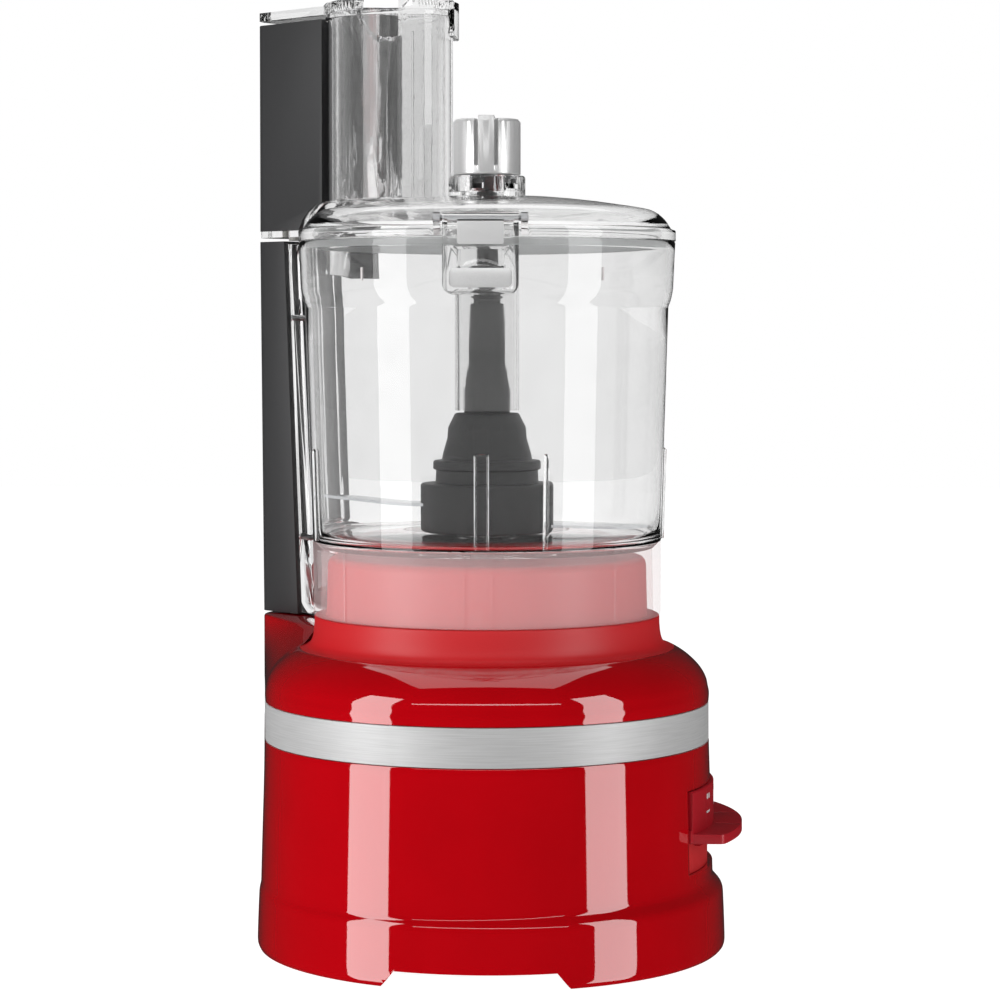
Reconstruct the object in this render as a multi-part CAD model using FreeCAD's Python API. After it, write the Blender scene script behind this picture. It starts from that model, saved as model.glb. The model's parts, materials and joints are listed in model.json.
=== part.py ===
import FreeCAD, Part
import math
import os

os.makedirs("parts", exist_ok=True)

V = FreeCAD.Vector
UP = V(0, 0, 1)

# ---------------------------------------------------------------- driving dimensions (mm)
# Directions round the drive axis, in degrees from +X. The front of the machine, with the latch, is -Y.
handle_turn = 136.5          # handle, feed tube column and post
latch_turn = -90.0           # lid latch
paddle_turn = 0.0            # speed paddle

# base housing
foot_height = 1.4            # rubber foot below the housing
floor_plate = 9.8            # underside of the recessed bottom plate
base_top = 99.7              # joint with the metal band
band_top = base_top + 18.6
collar_top = 159.0           # seat for the bowl
body_r_low = 107.8           # drum at the skirt step
body_r_top = 106.0           # drum at the band
skirt_r = 111.8              # flared skirt at the floor
skirt_shift = 2.0            # the skirt flares more on the paddle side
skirt_top = 28.0
step_top = skirt_top + 9.0
tongue_centre = 126.8        # centre of the rounded end that carries the handle post
tongue_r = 24.0
wall = 3.0                   # moulded housing wall
post_top = 150.3
crease_r = 89.5              # line between gloss shoulder and satin collar
crease_z = 143.5
collar_r = 82.3
post_face_r = 84.4
plug_r = 76.5                # raised seat inside the bowl skirt
plug_top = 187.0

# bowl
bowl_low_r = 83.0
bowl_step_r = 86.3
bowl_band_r = 88.5
bowl_rim_r = 89.5
skirt_bottom = 159.3
bowl_floor = 194.6
floor_thick = 3.4
bowl_step = 305.8
bowl_band = 313.9
bowl_rim = 336.0
bowl_wall = 2.6
chimney_r = 15.0             # tube round the spindle
chimney_top = 236.0

# handle
grip_half = 13.0             # half width of the grip
grip_top = 339.0
grip_bottom = 151.2
grip_in_top = 132.5
grip_in_low = 122.6
grip_out_top = 155.2
grip_out_low = 153.0
spine_top_r = 121.0
spine_low_r = 112.7

# lid
lid_flange = 341.5
lid_r = 89.7
lid_crown = 357.3
lid_wall = 2.5
plate_top = lid_flange + 2.7            # lid plate over the handle
column_in = 102.9
column_out = 154.4
tube_centre = 68.2
tube_a = 34.0                # feed tube half size towards the handle
tube_b = 26.6                # feed tube half size across
tube_wall = 2.2
tube_top = 449.0
column_top = tube_top - 0.6
sleeve_r = 15.3
sleeve_bottom = 256.2
pusher_gap = 0.9
pusher_top = tube_top + 5.6

# drive
spindle_r = 8.0
drive_top = 290.0
belt_pitch_big = 44.0
belt_pitch_small = 11.0
motor_turn = 200.0
motor_offset = 60.0

# fits
seam = 0.1                   # two fixed parts lying against each other
running = 0.03               # radial clearance of a shaft in its bearing
slip = 0.3                   # radial clearance of a part that lifts off by hand


# ---------------------------------------------------------------- helpers
def cyl(r, z0, z1, x=0.0, y=0.0):
    return Part.makeCylinder(r, z1 - z0, V(x, y, z0), UP)


def tube(ro, ri, z0, z1, x=0.0, y=0.0):
    return cyl(ro, z0, z1, x, y).cut(cyl(ri, z0 - 1, z1 + 1, x, y))


def cone(r0, r1, z0, z1, x=0.0, y=0.0):
    return Part.makeCone(r0, r1, z1 - z0, V(x, y, z0), UP)


def box(x0, x1, y0, y1, z0, z1):
    return Part.makeBox(x1 - x0, y1 - y0, z1 - z0, V(x0, y0, z0))


def rev(points):
    """Solid of revolution about Z from (radius, height) points."""
    wire = Part.makePolygon([V(r, 0, z) for r, z in points] + [V(points[0][0], 0, points[0][1])])
    return Part.Face(wire).revolve(V(0, 0, 0), UP, 360)


def sector(points, half_angle):
    """Like rev, but only within half_angle degrees either side of +X."""
    wire = Part.makePolygon([V(r, 0, z) for r, z in points] + [V(points[0][0], 0, points[0][1])])
    solid = Part.Face(wire).revolve(V(0, 0, 0), UP, 2 * half_angle)
    solid.rotate(V(0, 0, 0), UP, -half_angle)
    return solid


def side_plate(points, half, corner=0.0):
    """A plate whose side outline is (radius, height) points, half thick either side of Y = 0."""
    wire = Part.makePolygon([V(r, -half, z) for r, z in points] + [V(points[0][0], -half, points[0][1])])
    solid = Part.Face(wire).extrude(V(0, 2 * half, 0))
    if corner > 0:
        edges = [e for e in solid.Edges if abs(e.tangentAt(e.FirstParameter).y) > 0.99]
        solid = solid.makeFillet(corner, edges)
    return solid


def flat_plate(points, z0, z1):
    wire = Part.makePolygon([V(x, y, z0) for x, y in points] + [V(points[0][0], points[0][1], z0)])
    return Part.Face(wire).extrude(V(0, 0, z1 - z0))


def oval(a, b, z0, z1, x=0.0):
    """Elliptical block, half sizes a along X and b along Y."""
    edge = Part.Ellipse(V(x, 0, z0), a, b).toShape()
    return Part.Face(Part.Wire([edge])).extrude(V(0, 0, z1 - z0))


def teardrop(big, small, z, centre=tongue_centre):
    """Closed outline: a big circle on the axis and a small one towards +X, joined by tangents."""
    a = math.acos((big - small) / centre)
    p1 = V(big * math.cos(a), big * math.sin(a), z)
    p2 = V(big * math.cos(a), -big * math.sin(a), z)
    q1 = V(centre + small * math.cos(a), small * math.sin(a), z)
    q2 = V(centre + small * math.cos(a), -small * math.sin(a), z)
    back = Part.Arc(p1, V(-big, 0, z), p2).toShape()
    low = Part.makeLine(p2, q2)
    nose = Part.Arc(q2, V(centre + small, 0, z), q1).toShape()
    high = Part.makeLine(q1, p1)
    return Part.Wire([back, low, nose, high])


def drop_loft(rows):
    """Solid through teardrop outlines given as (height, big radius, small radius)."""
    return Part.makeLoft([teardrop(big, small, z) for z, big, small in rows], True, True)


def at(shape, degrees):
    turned = shape.copy()
    turned.rotate(V(0, 0, 0), UP, degrees)
    return turned


def moved(shape, x, y, z):
    other = shape.copy()
    other.translate(V(x, y, z))
    return other


def ring_of(shape, count, first=0.0):
    return [at(shape, first + 360.0 * i / count) for i in range(count)]


def join(shapes):
    if len(shapes) == 1:
        return shapes[0]
    return shapes[0].multiFuse(shapes[1:]).removeSplitter()


def cut_all(shape, tools):
    for tool in tools:
        shape = shape.cut(tool)
    return shape


nodes = {}

# ---------------------------------------------------------------- base housing
# Lower housing: a slightly tapered drum with a tongue under the handle and a flared skirt.
shell = at(drop_loft([
    (foot_height, body_r_low + 1.0, tongue_r + 1.4),
    (step_top + 6, body_r_low, tongue_r + 0.6),
    (base_top, body_r_top, tongue_r),
]), handle_turn)
skirt = join([
    cone(skirt_r - 1.4, skirt_r - 0.3, foot_height, foot_height + 1.2, skirt_shift),
    cone(skirt_r - 0.3, skirt_r, foot_height + 1.2, foot_height + 3.5, skirt_shift),
    cone(skirt_r, skirt_r - 0.9, foot_height + 3.5, skirt_top, skirt_shift),
    cone(skirt_r - 0.9, skirt_r - 2.4, skirt_top, skirt_top + 3.4, skirt_shift),
    cone(skirt_r - 2.4, body_r_low - 3.0, skirt_top + 3.4, step_top + 1.5, skirt_shift),
])
hollow = at(drop_loft([
    (foot_height - 1, body_r_low + 1.0 - wall, tongue_r + 1.4 - wall),
    (step_top + 6, body_r_low - wall, tongue_r + 0.6 - wall),
    (base_top + 1, body_r_top - wall, tongue_r - wall),
]), handle_turn)
housing = join([shell, skirt]).cut(hollow)
# finger notches under the front and the back of the skirt
notch = side_plate([(60, -1), (160, -1), (160, 1), (60, 1)], 1.0)
notch_outline = Part.makePolygon([V(-46, -130, 0), V(-38.5, -130, 9.0), V(34.5, -130, 9.0),
                                  V(42, -130, 0), V(-46, -130, 0)])
notch = Part.Face(notch_outline).extrude(V(0, 45, 0))
housing = housing.cut(notch).cut(at(notch, 150))
# shallow pocket behind the paddle, and the slot its stem passes through
pocket_low = 42.0
pocket_high = 81.4
pocket_r = 104.3
pocket = at(sector([(pocket_r, pocket_low), (125, pocket_low), (125, pocket_high),
                    (pocket_r, pocket_high)], 28.0), paddle_turn)
stem_half = 6.0
stem_slot = at(box(85, 125, -stem_half - 0.5, stem_half + 0.5, 49.0, 71.6), paddle_turn)
housing = housing.cut(pocket).cut(stem_slot)
# round hole for the mains inlet at the back
inlet_turn = 62.0
inlet_z = 22.0
inlet_hole = Part.makeCylinder(8.0, 60, V(75, 0, inlet_z), V(1, 0, 0))
housing = housing.cut(at(inlet_hole, inlet_turn))
inlet_recess = Part.makeCylinder(10.6, 20, V(108.8, 0, inlet_z), V(1, 0, 0))
housing = housing.cut(at(inlet_recess, inlet_turn))
nodes["lower_housing"] = housing

# Satin liner of the paddle pocket.
liner = sector([(pocket_r + seam, pocket_low + 0.2), (pocket_r + 1.1, pocket_low + 0.2),
                (pocket_r + 1.1, pocket_high - 0.2), (pocket_r + seam, pocket_high - 0.2)], 27.8)
nodes["control_panel"] = at(liner, paddle_turn).cut(stem_slot)

# Metal band wrapped round the teardrop, held in a step between the housings.
band = at(drop_loft([(base_top + 0.25, body_r_top - 0.1, tongue_r - 0.1),
                     (band_top - 0.25, body_r_top - 0.2, tongue_r - 0.1)]), handle_turn)
band_core = at(drop_loft([(base_top - 1, body_r_top - 1.3, tongue_r - 1.3),
                          (band_top + 1, body_r_top - 1.3, tongue_r - 1.3)]), handle_turn)
nodes["trim_band"] = band.cut(band_core)

# Upper housing: band carrier, rounded shoulder and the handle post.
carrier = at(drop_loft([(base_top + 0.05, body_r_top - 1.35, tongue_r - 1.35),
                        (band_top + 0.05, body_r_top - 1.35, tongue_r - 1.35)]), handle_turn)
shoulder_rows = [
    (band_top, body_r_top - 0.3, tongue_r),
    (122.0, body_r_top - 0.1, tongue_r),
    (125.0, 105.3, tongue_r),
    (128.0, 104.2, tongue_r),
    (131.0, 102.3, tongue_r),
    (134.0, 99.6, tongue_r),
    (137.0, 96.2, tongue_r),
    (139.8, 92.6, tongue_r),
    (141.8, 89.6, tongue_r),
    (143.5, 86.4, tongue_r),
    (145.4, 82.0, tongue_r),
    (147.6, 76.0, tongue_r),
    (post_top - 0.8, 68.0, tongue_r),
    (post_top, 67.4, tongue_r - 0.8),
]
post_body = at(drop_loft(shoulder_rows), handle_turn)
shoulder_ring = rev([(0, band_top), (body_r_top - 0.3, band_top), (body_r_top - 0.1, 122.0),
                     (105.4, 125.0), (104.9, 128.0), (103.6, 131.0), (101.6, 134.0),
                     (98.8, 137.0), (95.4, 139.9), (92.4, 141.9), (crease_r, crease_z),
                     (0, crease_z)])
upper = join([post_body, shoulder_ring, carrier])
seat_cut = rev([(0, 135), (crease_r - 6, 135), (crease_r - 0.6, crease_z - 1.2),
                (crease_r, crease_z + 0.02), (87.6, 144.5), (86.0, 146.2), (85.0, 148.6),
                (post_face_r, 152.0), (post_face_r, 170), (0, 170)])
upper = upper.cut(seat_cut)
inner_hollow = at(drop_loft([(base_top - 1, body_r_top - 5.0, tongue_r - 4.4),
                             (124.0, body_r_top - 5.0, tongue_r - 4.0),
                             (131.0, 96.0, tongue_r - 4.0),
                             (138.0, 82.0, tongue_r - 4.0),
                             (post_top - 4.0, 70.0, tongue_r - 4.0)]), handle_turn)
upper = upper.cut(inner_hollow)
rod_r = 3.0
rod_at = 139.0               # rods of the interlock run down the handle at this radius
rod_x = rod_at * math.cos(math.radians(handle_turn))
rod_y = rod_at * math.sin(math.radians(handle_turn))
upper = upper.cut(cyl(rod_r + slip, 130, 170, rod_x, rod_y))
nodes["upper_housing"] = upper

# Satin bowl seat: concave collar, raised plug and a lobed boss round the spindle.
seat = rev([
    (spindle_r + 6.0, 148.0), (62.0, 148.0), (72.0, 139.0), (crease_r - 6.2, 136.6),
    (crease_r - 0.8, crease_z - 1.0), (crease_r - 0.15, crease_z), (86.5, 144.3), (84.4, 145.8),
    (83.3, 148.4), (82.7, 152.0), (collar_r, 156.0), (collar_r, collar_top - 0.8),
    (collar_r - 0.8, collar_top), (plug_r + 0.6, collar_top), (plug_r, collar_top + 0.8),
    (plug_r - 0.6, plug_top - 4.0), (plug_r - 2.2, plug_top - 1.0), (plug_r - 4.6, plug_top),
    (spindle_r + 6.0, plug_top),
])
seat = seat.cut(rev([(22.0, 140.0), (60.0, 140.0), (73.0, 154.0), (73.0, 182.0), (70.0, 184.0),
                     (22.0, 184.0)]))
lobes = [cyl(5.0, plug_top - 1, plug_top + 2.6, 21.0, 0.0)]
boss = cyl(20.5, plug_top - 1, plug_top + 2.6)
for lobe in ring_of(lobes[0], 8):
    boss = boss.fuse(lobe)
boss = boss.cut(cyl(spindle_r + 6.0, plug_top - 2, plug_top + 4))
seat = seat.fuse(boss).removeSplitter()
nodes["bowl_seat"] = seat

# Bottom plate with vent slots, held up inside the skirt.
plate_low = floor_plate
plate_high = plate_low + 2.6
bottom = at(drop_loft([(plate_low, body_r_low - wall - 0.2, tongue_r + 1.0 - wall),
                       (plate_high, body_r_low - wall - 0.2, tongue_r + 1.0 - wall)]), handle_turn)
for i in range(-5, 6):
    slot = box(-26, 26, i * 9.0 - 1.8, i * 9.0 + 1.8, 0, 12)
    bottom = bottom.cut(moved(slot, -38, -8, 5))
nodes["bottom_plate"] = bottom

# Four rubber feet with their stems pushed into the bottom plate.
foot_spots = [(45.0, 88.0), (-45.0, 88.0), (-135.0, 88.0), (handle_turn, 112.0)]
feet = []
foot_holes = []
for turn, radius in foot_spots:
    fx = radius * math.cos(math.radians(turn))
    fy = radius * math.sin(math.radians(turn))
    pad = cone(10.2, 11.0, 0.0, 0.8, fx, fy).fuse(cyl(11.0, 0.8, plate_low - 0.05, fx, fy))
    stem = cyl(4.0, plate_low - 0.5, plate_high + 0.6, fx, fy)
    feet.append(pad.fuse(stem).removeSplitter())
    foot_holes.append(cyl(4.0 + seam, plate_low - 1, plate_high + 1, fx, fy))
nodes["rubber_feet"] = Part.makeCompound(feet)
bottom = cut_all(bottom, foot_holes)

# Screws through the bottom plate into four posts of the lower housing.
screw_spots = [(15.0, 92.0), (75.0, 92.0), (-105.0, 92.0), (-165.0, 92.0)]
screws = []
screw_posts = []
for turn, radius in screw_spots:
    sx = radius * math.cos(math.radians(turn))
    sy = radius * math.sin(math.radians(turn))
    head = cyl(4.0, plate_low - 0.05 - 2.0, plate_low - 0.05, sx, sy)
    shank = cyl(1.8, plate_low - 0.1, plate_high + 10.0, sx, sy)
    head = head.cut(box(sx - 3, sx + 3, sy - 0.5, sy + 0.5, 0, plate_low - 1.2))
    screws.append(head.fuse(shank).removeSplitter())
    bottom = bottom.cut(cyl(1.9, plate_low - 1, plate_high + 1, sx, sy))
    post = box(radius - 5.5, body_r_low - 1.6, -5.0, 5.0, plate_high + seam, plate_high + 17.5)
    screw_posts.append(at(post, turn).cut(cyl(1.8, 0, plate_high + 14, sx, sy)))
nodes["bottom_plate"] = bottom
nodes["housing_screws"] = Part.makeCompound(screws)
nodes["lower_housing"] = join([nodes["lower_housing"]] + screw_posts)

# ---------------------------------------------------------------- motor and belt drive
mx = motor_offset * math.cos(math.radians(motor_turn))
my = motor_offset * math.sin(math.radians(motor_turn))
motor_low = 36.0
motor_high = 112.0
stator = tube(37.0, 21.0, motor_low + 14, motor_high - 14, mx, my)
for i in range(8):
    groove = moved(at(box(19.5, 27.5, -2.2, 2.2, motor_low, motor_high), 45.0 * i), mx, my, 0)
    stator = stator.cut(groove)
nodes["motor_stator"] = stator
coil_low = tube(35.0, 23.0, motor_low + 5, motor_low + 13.8, mx, my)
coil_high = tube(35.0, 23.0, motor_high - 13.8, motor_high - 5, mx, my)
nodes["motor_windings"] = Part.makeCompound([coil_low, coil_high])
end_low = cyl(37.5, motor_low, motor_low + 4.8, mx, my).cut(cyl(8.0, 0, 200, mx, my))
end_high = cyl(37.5, motor_high - 4.8, motor_high, mx, my).cut(cyl(8.0, 0, 200, mx, my))
nodes["motor_end_bells"] = Part.makeCompound([end_low, end_high])
ball_low = tube(8.0 - 0.02, 4.0 + running, motor_low, motor_low + 5, mx, my)
ball_high = tube(8.0 - 0.02, 4.0 + running, motor_high - 5, motor_high, mx, my)
# Deck that carries the motor and the lower spindle bearing.
deck_low = motor_low - 5.0
deck_high = motor_low - 0.1
deck = at(drop_loft([(deck_low, 98.0, tongue_r - 8), (deck_high, 98.0, tongue_r - 8)]), handle_turn)
deck = deck.cut(cyl(13.0, 0, 200, mx, my)).cut(cyl(15.0 + seam, 0, 200))
deck = deck.cut(at(box(70, 120, -40, 40, 0, 60), paddle_turn))
deck_posts = []
mounts = []
for turn, radius in ((45.0, 72.0), (-45.0, 72.0), (-88.0, 84.0), (160.0, 84.0)):
    px = radius * math.cos(math.radians(turn))
    py = radius * math.sin(math.radians(turn))
    deck_posts.append(cyl(5.0, plate_high + 3.1, deck_low + 0.5, px, py))
    mounts.append(cyl(7.0, plate_high + 0.05, plate_high + 3.0, px, py))
nodes["motor_deck"] = join([deck] + deck_posts)
nodes["motor_mounts"] = Part.makeCompound(mounts)
# Bearing tower of the spindle, standing on the deck under the bowl seat.
tower_high = 146.0
tower = tube(15.0, 11.0 + 0.02, deck_low, tower_high)
tower_ribs = [at(box(14.5, 24.0, -1.5, 1.5, deck_high + 0.05, deck_high + 40), a) for a in (20, 110, 290)]
nodes["bearing_tower"] = join([tower] + tower_ribs)
bear_low = tube(11.0, spindle_r + running, deck_low + 2, deck_low + 12)
bear_high = tube(11.0, spindle_r + running, tower_high - 12, tower_high - 2)
nodes["bearings"] = Part.makeCompound([ball_low, ball_high, bear_low, bear_high])
nodes["spindle_seal"] = tube(spindle_r + 6.0 - 0.05, spindle_r + 0.05, plug_top - 8, plug_top - 1)

# Spindle body: shaft with a six-sided top, big pulley and clip.
hex_across = 5.6
hex_points = [(hex_across / math.cos(math.radians(30)) * math.cos(math.radians(60 * i)),
               hex_across / math.cos(math.radians(30)) * math.sin(math.radians(60 * i)))
              for i in range(6)]
spindle = cyl(spindle_r, plate_high + 0.8, chimney_top + 2)
spindle = spindle.fuse(flat_plate(hex_points, chimney_top + 1, drive_top)).removeSplitter()
pulley_low = plate_high + 1.6
pulley_high = pulley_low + 11.8
nodes["drive_spindle"] = spindle
big = tube(belt_pitch_big + 2.0, spindle_r, pulley_low, pulley_high)
big = big.cut(tube(belt_pitch_big + 4, belt_pitch_big - 1.5, pulley_low + 1.6, pulley_high - 1.6))
for web in ring_of(cyl(9.0, 0, 60, 26.0, 0.0), 5):
    big = big.cut(web)
nodes["large_pulley"] = big

# Rotor body: shaft, laminated core, commutator, fan and small pulley.
nodes["motor_shaft"] = cyl(4.0, plate_high + 0.8, motor_high + 2, mx, my)
core = tube(20.0, 4.0, motor_low + 16, motor_high - 18, mx, my)
for i in range(12):
    slot = moved(at(box(15.0, 21.0, -0.9, 0.9, motor_low, motor_high), 30.0 * i), mx, my, 0)
    core = core.cut(slot)
nodes["rotor_core"] = core
nodes["commutator"] = tube(11.0, 4.0, motor_high - 16.5, motor_high - 7, mx, my)
fan = tube(9.0, 4.0, deck_low - 4.6, deck_low - 0.6, mx, my)
for i in range(9):
    fan = fan.fuse(moved(at(box(8.0, 24.0, -0.7, 0.7, deck_low - 4.6, deck_low - 0.9), 40.0 * i), mx, my, 0))
nodes["cooling_fan"] = fan.removeSplitter()
small = tube(belt_pitch_small + 2.0, 4.0, pulley_low, pulley_high, mx, my)
small = small.cut(tube(belt_pitch_small + 4, belt_pitch_small - 1.5, pulley_low + 1.6, pulley_high - 1.6,
                       mx, my))
nodes["small_pulley"] = small

# Belt round both pulleys.
belt_outer = teardrop(belt_pitch_big + 0.9, belt_pitch_small + 0.9, 0, motor_offset)
belt_inner = teardrop(belt_pitch_big - 1.45, belt_pitch_small - 1.45, 0, motor_offset)
belt = Part.Face(belt_outer).extrude(V(0, 0, 8.0)).cut(Part.Face(belt_inner).extrude(V(0, 0, 8.0)))
belt = moved(belt, 0, 0, pulley_low + 1.9)
nodes["drive_belt"] = at(belt, motor_turn)

# ---------------------------------------------------------------- controls
board = box(-32, 32, -1.0, 1.0, 50, 100)
board = moved(board, 0, 82, 0)
parts_on_board = [
    box(-25, -8, 74, 81, 58, 72), box(4, 14, 76, 81, 60, 80), cyl(5.0, 84, 96, -14, 75.9),
    box(18, 27, 77, 81, 84, 94),
]
nodes["control_board"] = join([board] + parts_on_board)
switch = box(70, 92, -16, 16, 44, 78).cut(box(84, 93, -stem_half - 1, stem_half + 1, 46, 76))
nodes["speed_switch"] = at(switch, paddle_turn)
lever_plate_r = pocket_r + 1.3
lever_plate = sector([(lever_plate_r, 57.4), (lever_plate_r + 2.7, 57.4), (lever_plate_r + 2.7, 80.4),
                      (lever_plate_r + 2.2, 81.0), (lever_plate_r, 81.0)], 27.0)
shelf_low = 56.8
shelf_high = 61.2
shelf = cyl(113.7, shelf_low, shelf_high, 8.2, 0.0).cut(cyl(lever_plate_r + 0.5, 0, 100))
shelf = shelf.common(box(60, 130, -48.5, 48.5, 0, 100))
corner_edges = [e for e in shelf.Edges if len(e.Vertexes) == 2
                and abs(e.Vertexes[0].X - e.Vertexes[1].X) < 0.01
                and abs(e.Vertexes[0].Y - e.Vertexes[1].Y) < 0.01
                and e.Vertexes[0].X > 100 and abs(e.Vertexes[0].Y) > 45
                and math.hypot(e.Vertexes[0].X, e.Vertexes[0].Y) > lever_plate_r + 5]
shelf = shelf.makeFillet(3.0, corner_edges)
for turn in (-8.0, 8.0):
    shelf = shelf.cut(at(box(lever_plate_r + 4.5, 130, -0.35, 0.35, shelf_high - 0.5, 100), turn))
under_rib = sector([(lever_plate_r, 54.5), (lever_plate_r + 2.2, 54.5),
                    (lever_plate_r + 7.5, shelf_low + 0.4),
                    (lever_plate_r, shelf_low + 0.4)], 22.0)
guide = sector([(lever_plate_r, 57.4), (lever_plate_r + 2.4, 57.4), (lever_plate_r + 2.4, 63.0),
                (lever_plate_r, 63.0)], 27.6)
stem = box(85.0, lever_plate_r + 1.0, -stem_half, stem_half, 64.0, 70.0)
lever = join([lever_plate, shelf, under_rib, guide, stem])
nodes["speed_paddle"] = at(lever, paddle_turn)
mark_r = lever_plate_r + 2.7
mark_low = sector([(mark_r - 0.2, 68.4), (mark_r + 0.15, 68.4), (mark_r + 0.15, 69.4),
                   (mark_r - 0.2, 69.4)], 1.6)
mark_high = sector([(mark_r - 0.2, 75.0), (mark_r + 0.15, 75.0), (mark_r + 0.15, 77.4),
                    (mark_r - 0.2, 77.4)], 0.5)
marks = []
for turn in (-15.0, 0.0, 15.0):
    marks.append(at(mark_low, paddle_turn + turn))
for turn in (-16.0, -14.2, 0.0, 14.2, 16.0):
    marks.append(at(mark_high, paddle_turn + turn))
paddle_marks = Part.makeCompound(marks)
nodes["speed_paddle"] = cut_all(nodes["speed_paddle"], marks)
nodes["paddle_marks"] = paddle_marks

# Safety switch in the post and its plunger.
nodes["interlock_switch"] = at(box(rod_at - 9, rod_at + 5, -7, 7, 96, 116), handle_turn)
bracket = box(104.0, rod_at - 9.1, -6, 6, 100, 112)
nodes["switch_bracket"] = at(bracket, handle_turn)
nodes["switch_plunger"] = cyl(rod_r, 116.6, post_top + 0.4, rod_x, rod_y).fuse(
    cyl(rod_r + 2.0, 118.0, 121.0, rod_x, rod_y)).removeSplitter()
spring_coil = Part.makeHelix(3.4, 16.0, rod_r + 1.35)
spring_wire = Part.Wire([Part.Circle(V(rod_r + 1.35, 0, 0), V(0, 1, 0.25), 0.55).toShape()])
spring = Part.Wire(spring_coil.Edges).makePipeShell([spring_wire], True, True)
nodes["plunger_spring"] = moved(spring, rod_x, rod_y, 121.7)

# Mains lead bushing at the back, closed off because the lead is not part of this unit.
gland = Part.makeCylinder(7.9, 22, V(86, 0, inlet_z), V(1, 0, 0))
gland = gland.fuse(Part.makeCylinder(10.5, 2.2, V(108.9, 0, inlet_z), V(1, 0, 0)))
gland = gland.fuse(Part.makeCylinder(7.9, 4, V(106, 0, inlet_z), V(1, 0, 0)))
gland = gland.removeSplitter()
nodes["lead_bushing"] = at(gland, inlet_turn)

# ---------------------------------------------------------------- bowl
def wall_r(z):
    """Outer radius of the bowl wall at height z."""
    if z <= bowl_step:
        return bowl_low_r + (bowl_step_r - bowl_low_r) * (z - bowl_floor) / (bowl_step - bowl_floor)
    if z <= bowl_band:
        return bowl_step_r + (bowl_band_r - bowl_step_r) * (z - bowl_step) / (bowl_band - bowl_step)
    return bowl_band_r + (bowl_rim_r - bowl_band_r) * (z - bowl_band) / (bowl_rim - bowl_band)


bowl = rev([
    (chimney_r - 2.0, bowl_floor - floor_thick), (bowl_low_r - 3.6, bowl_floor - floor_thick),
    (bowl_low_r - 0.7, bowl_floor - 0.4), (bowl_low_r - 0.7, bowl_floor - 0.2),
    (bowl_low_r - 0.1, bowl_floor - 0.1), (bowl_low_r, bowl_floor + 2),
    (bowl_step_r, bowl_step), (bowl_step_r + 0.9, bowl_step + 2.2), (bowl_band_r, bowl_band),
    (bowl_rim_r, bowl_rim), (bowl_rim_r - bowl_wall, bowl_rim),
    (bowl_band_r - bowl_wall, bowl_band + 0.6), (bowl_step_r - bowl_wall + 0.6, bowl_step + 2.4),
    (bowl_step_r - bowl_wall, bowl_step), (bowl_low_r - bowl_wall, bowl_floor + 6),
    (bowl_low_r - bowl_wall - 1.6, bowl_floor + 1.6), (bowl_low_r - bowl_wall - 5.0, bowl_floor),
    (chimney_r, bowl_floor), (chimney_r, chimney_top), (chimney_r - 2.0, chimney_top),
])
# moulded ribs outside the wall, the tall one at the front
rib_front = box(bowl_low_r - 1.0, bowl_low_r + 3.2, -3.3, 3.3, bowl_floor, 238.5)
bowl = bowl.fuse(at(rib_front.common(cone(bowl_low_r + 1.6, bowl_low_r + 2.2, bowl_floor, 238.5)),
                    latch_turn))
for turn in (-72.0, 20.0, 88.0):
    thin = box(bowl_low_r - 1.0, bowl_low_r + 3.0, -0.9, 0.9, bowl_floor, 236.0)
    thin = thin.common(cone(bowl_low_r + 1.0, bowl_low_r + 1.9, bowl_floor, 236.0))
    bowl = bowl.fuse(at(thin, latch_turn + turn))
# latch catch on the upper band
catch = side_plate([(bowl_rim_r - 1.2, 317.0), (92.4, 317.0), (92.4, 319.4), (bowl_rim_r - 1.2, 323.0)], 11.0)
bowl = bowl.fuse(at(catch, latch_turn)).removeSplitter()
nodes["bowl"] = bowl
fill_marks = []
for turn in (-38.0, 38.0):
    zc = bowl_band + 3.0
    mark = box(wall_r(zc) - 0.6, wall_r(zc) + 0.35, -0.5, 0.5, zc, zc + 6.0)
    fill_marks.append(at(mark, latch_turn + turn))
nodes["bowl"] = cut_all(nodes["bowl"], fill_marks)
nodes["fill_marks"] = Part.makeCompound(fill_marks)

# Frosted skirt that drops over the plug.
skirt_in = plug_r + 1.2
bowl_skirt = rev([
    (bowl_low_r - 3.6, skirt_bottom), (bowl_low_r - 0.6, skirt_bottom),
    (bowl_low_r - 0.1, skirt_bottom + 0.6),
    (bowl_low_r, bowl_floor), (bowl_low_r - 0.5, bowl_floor),
    (bowl_low_r - 3.2, bowl_floor - floor_thick - 0.1),
    (bowl_low_r - 4.2, bowl_floor - floor_thick - 0.1),
])
for turn in (-50.0, 46.0):
    thin = box(bowl_low_r - 1.0, bowl_low_r + 2.0, -0.9, 0.9, skirt_bottom + 1.0, bowl_floor)
    thin = thin.common(cyl(bowl_low_r + 0.9, skirt_bottom, bowl_floor))
    bowl_skirt = bowl_skirt.fuse(at(thin, latch_turn + turn))
for side in (-6.3, 6.3):
    thin = box(bowl_low_r - 2.0, bowl_low_r + 2.0, side - 0.7, side + 0.7, skirt_bottom + 0.5,
               bowl_floor - 0.5)
    thin = thin.common(cyl(bowl_low_r + 1.0, skirt_bottom, bowl_floor))
    bowl_skirt = bowl_skirt.fuse(at(thin, latch_turn - 1.0))
stud = Part.makeCylinder(3.2, 4.2, V(bowl_low_r - 2.2, 0, 167.0), V(1, 0, 0))
stud = stud.cut(Part.makeCylinder(1.2, 2.0, V(bowl_low_r + 1.2, 0, 167.0), V(1, 0, 0)))
bowl_skirt = bowl_skirt.fuse(at(stud, latch_turn - 1.0))
under_bowl = bowl_floor - floor_thick - 0.08
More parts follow.
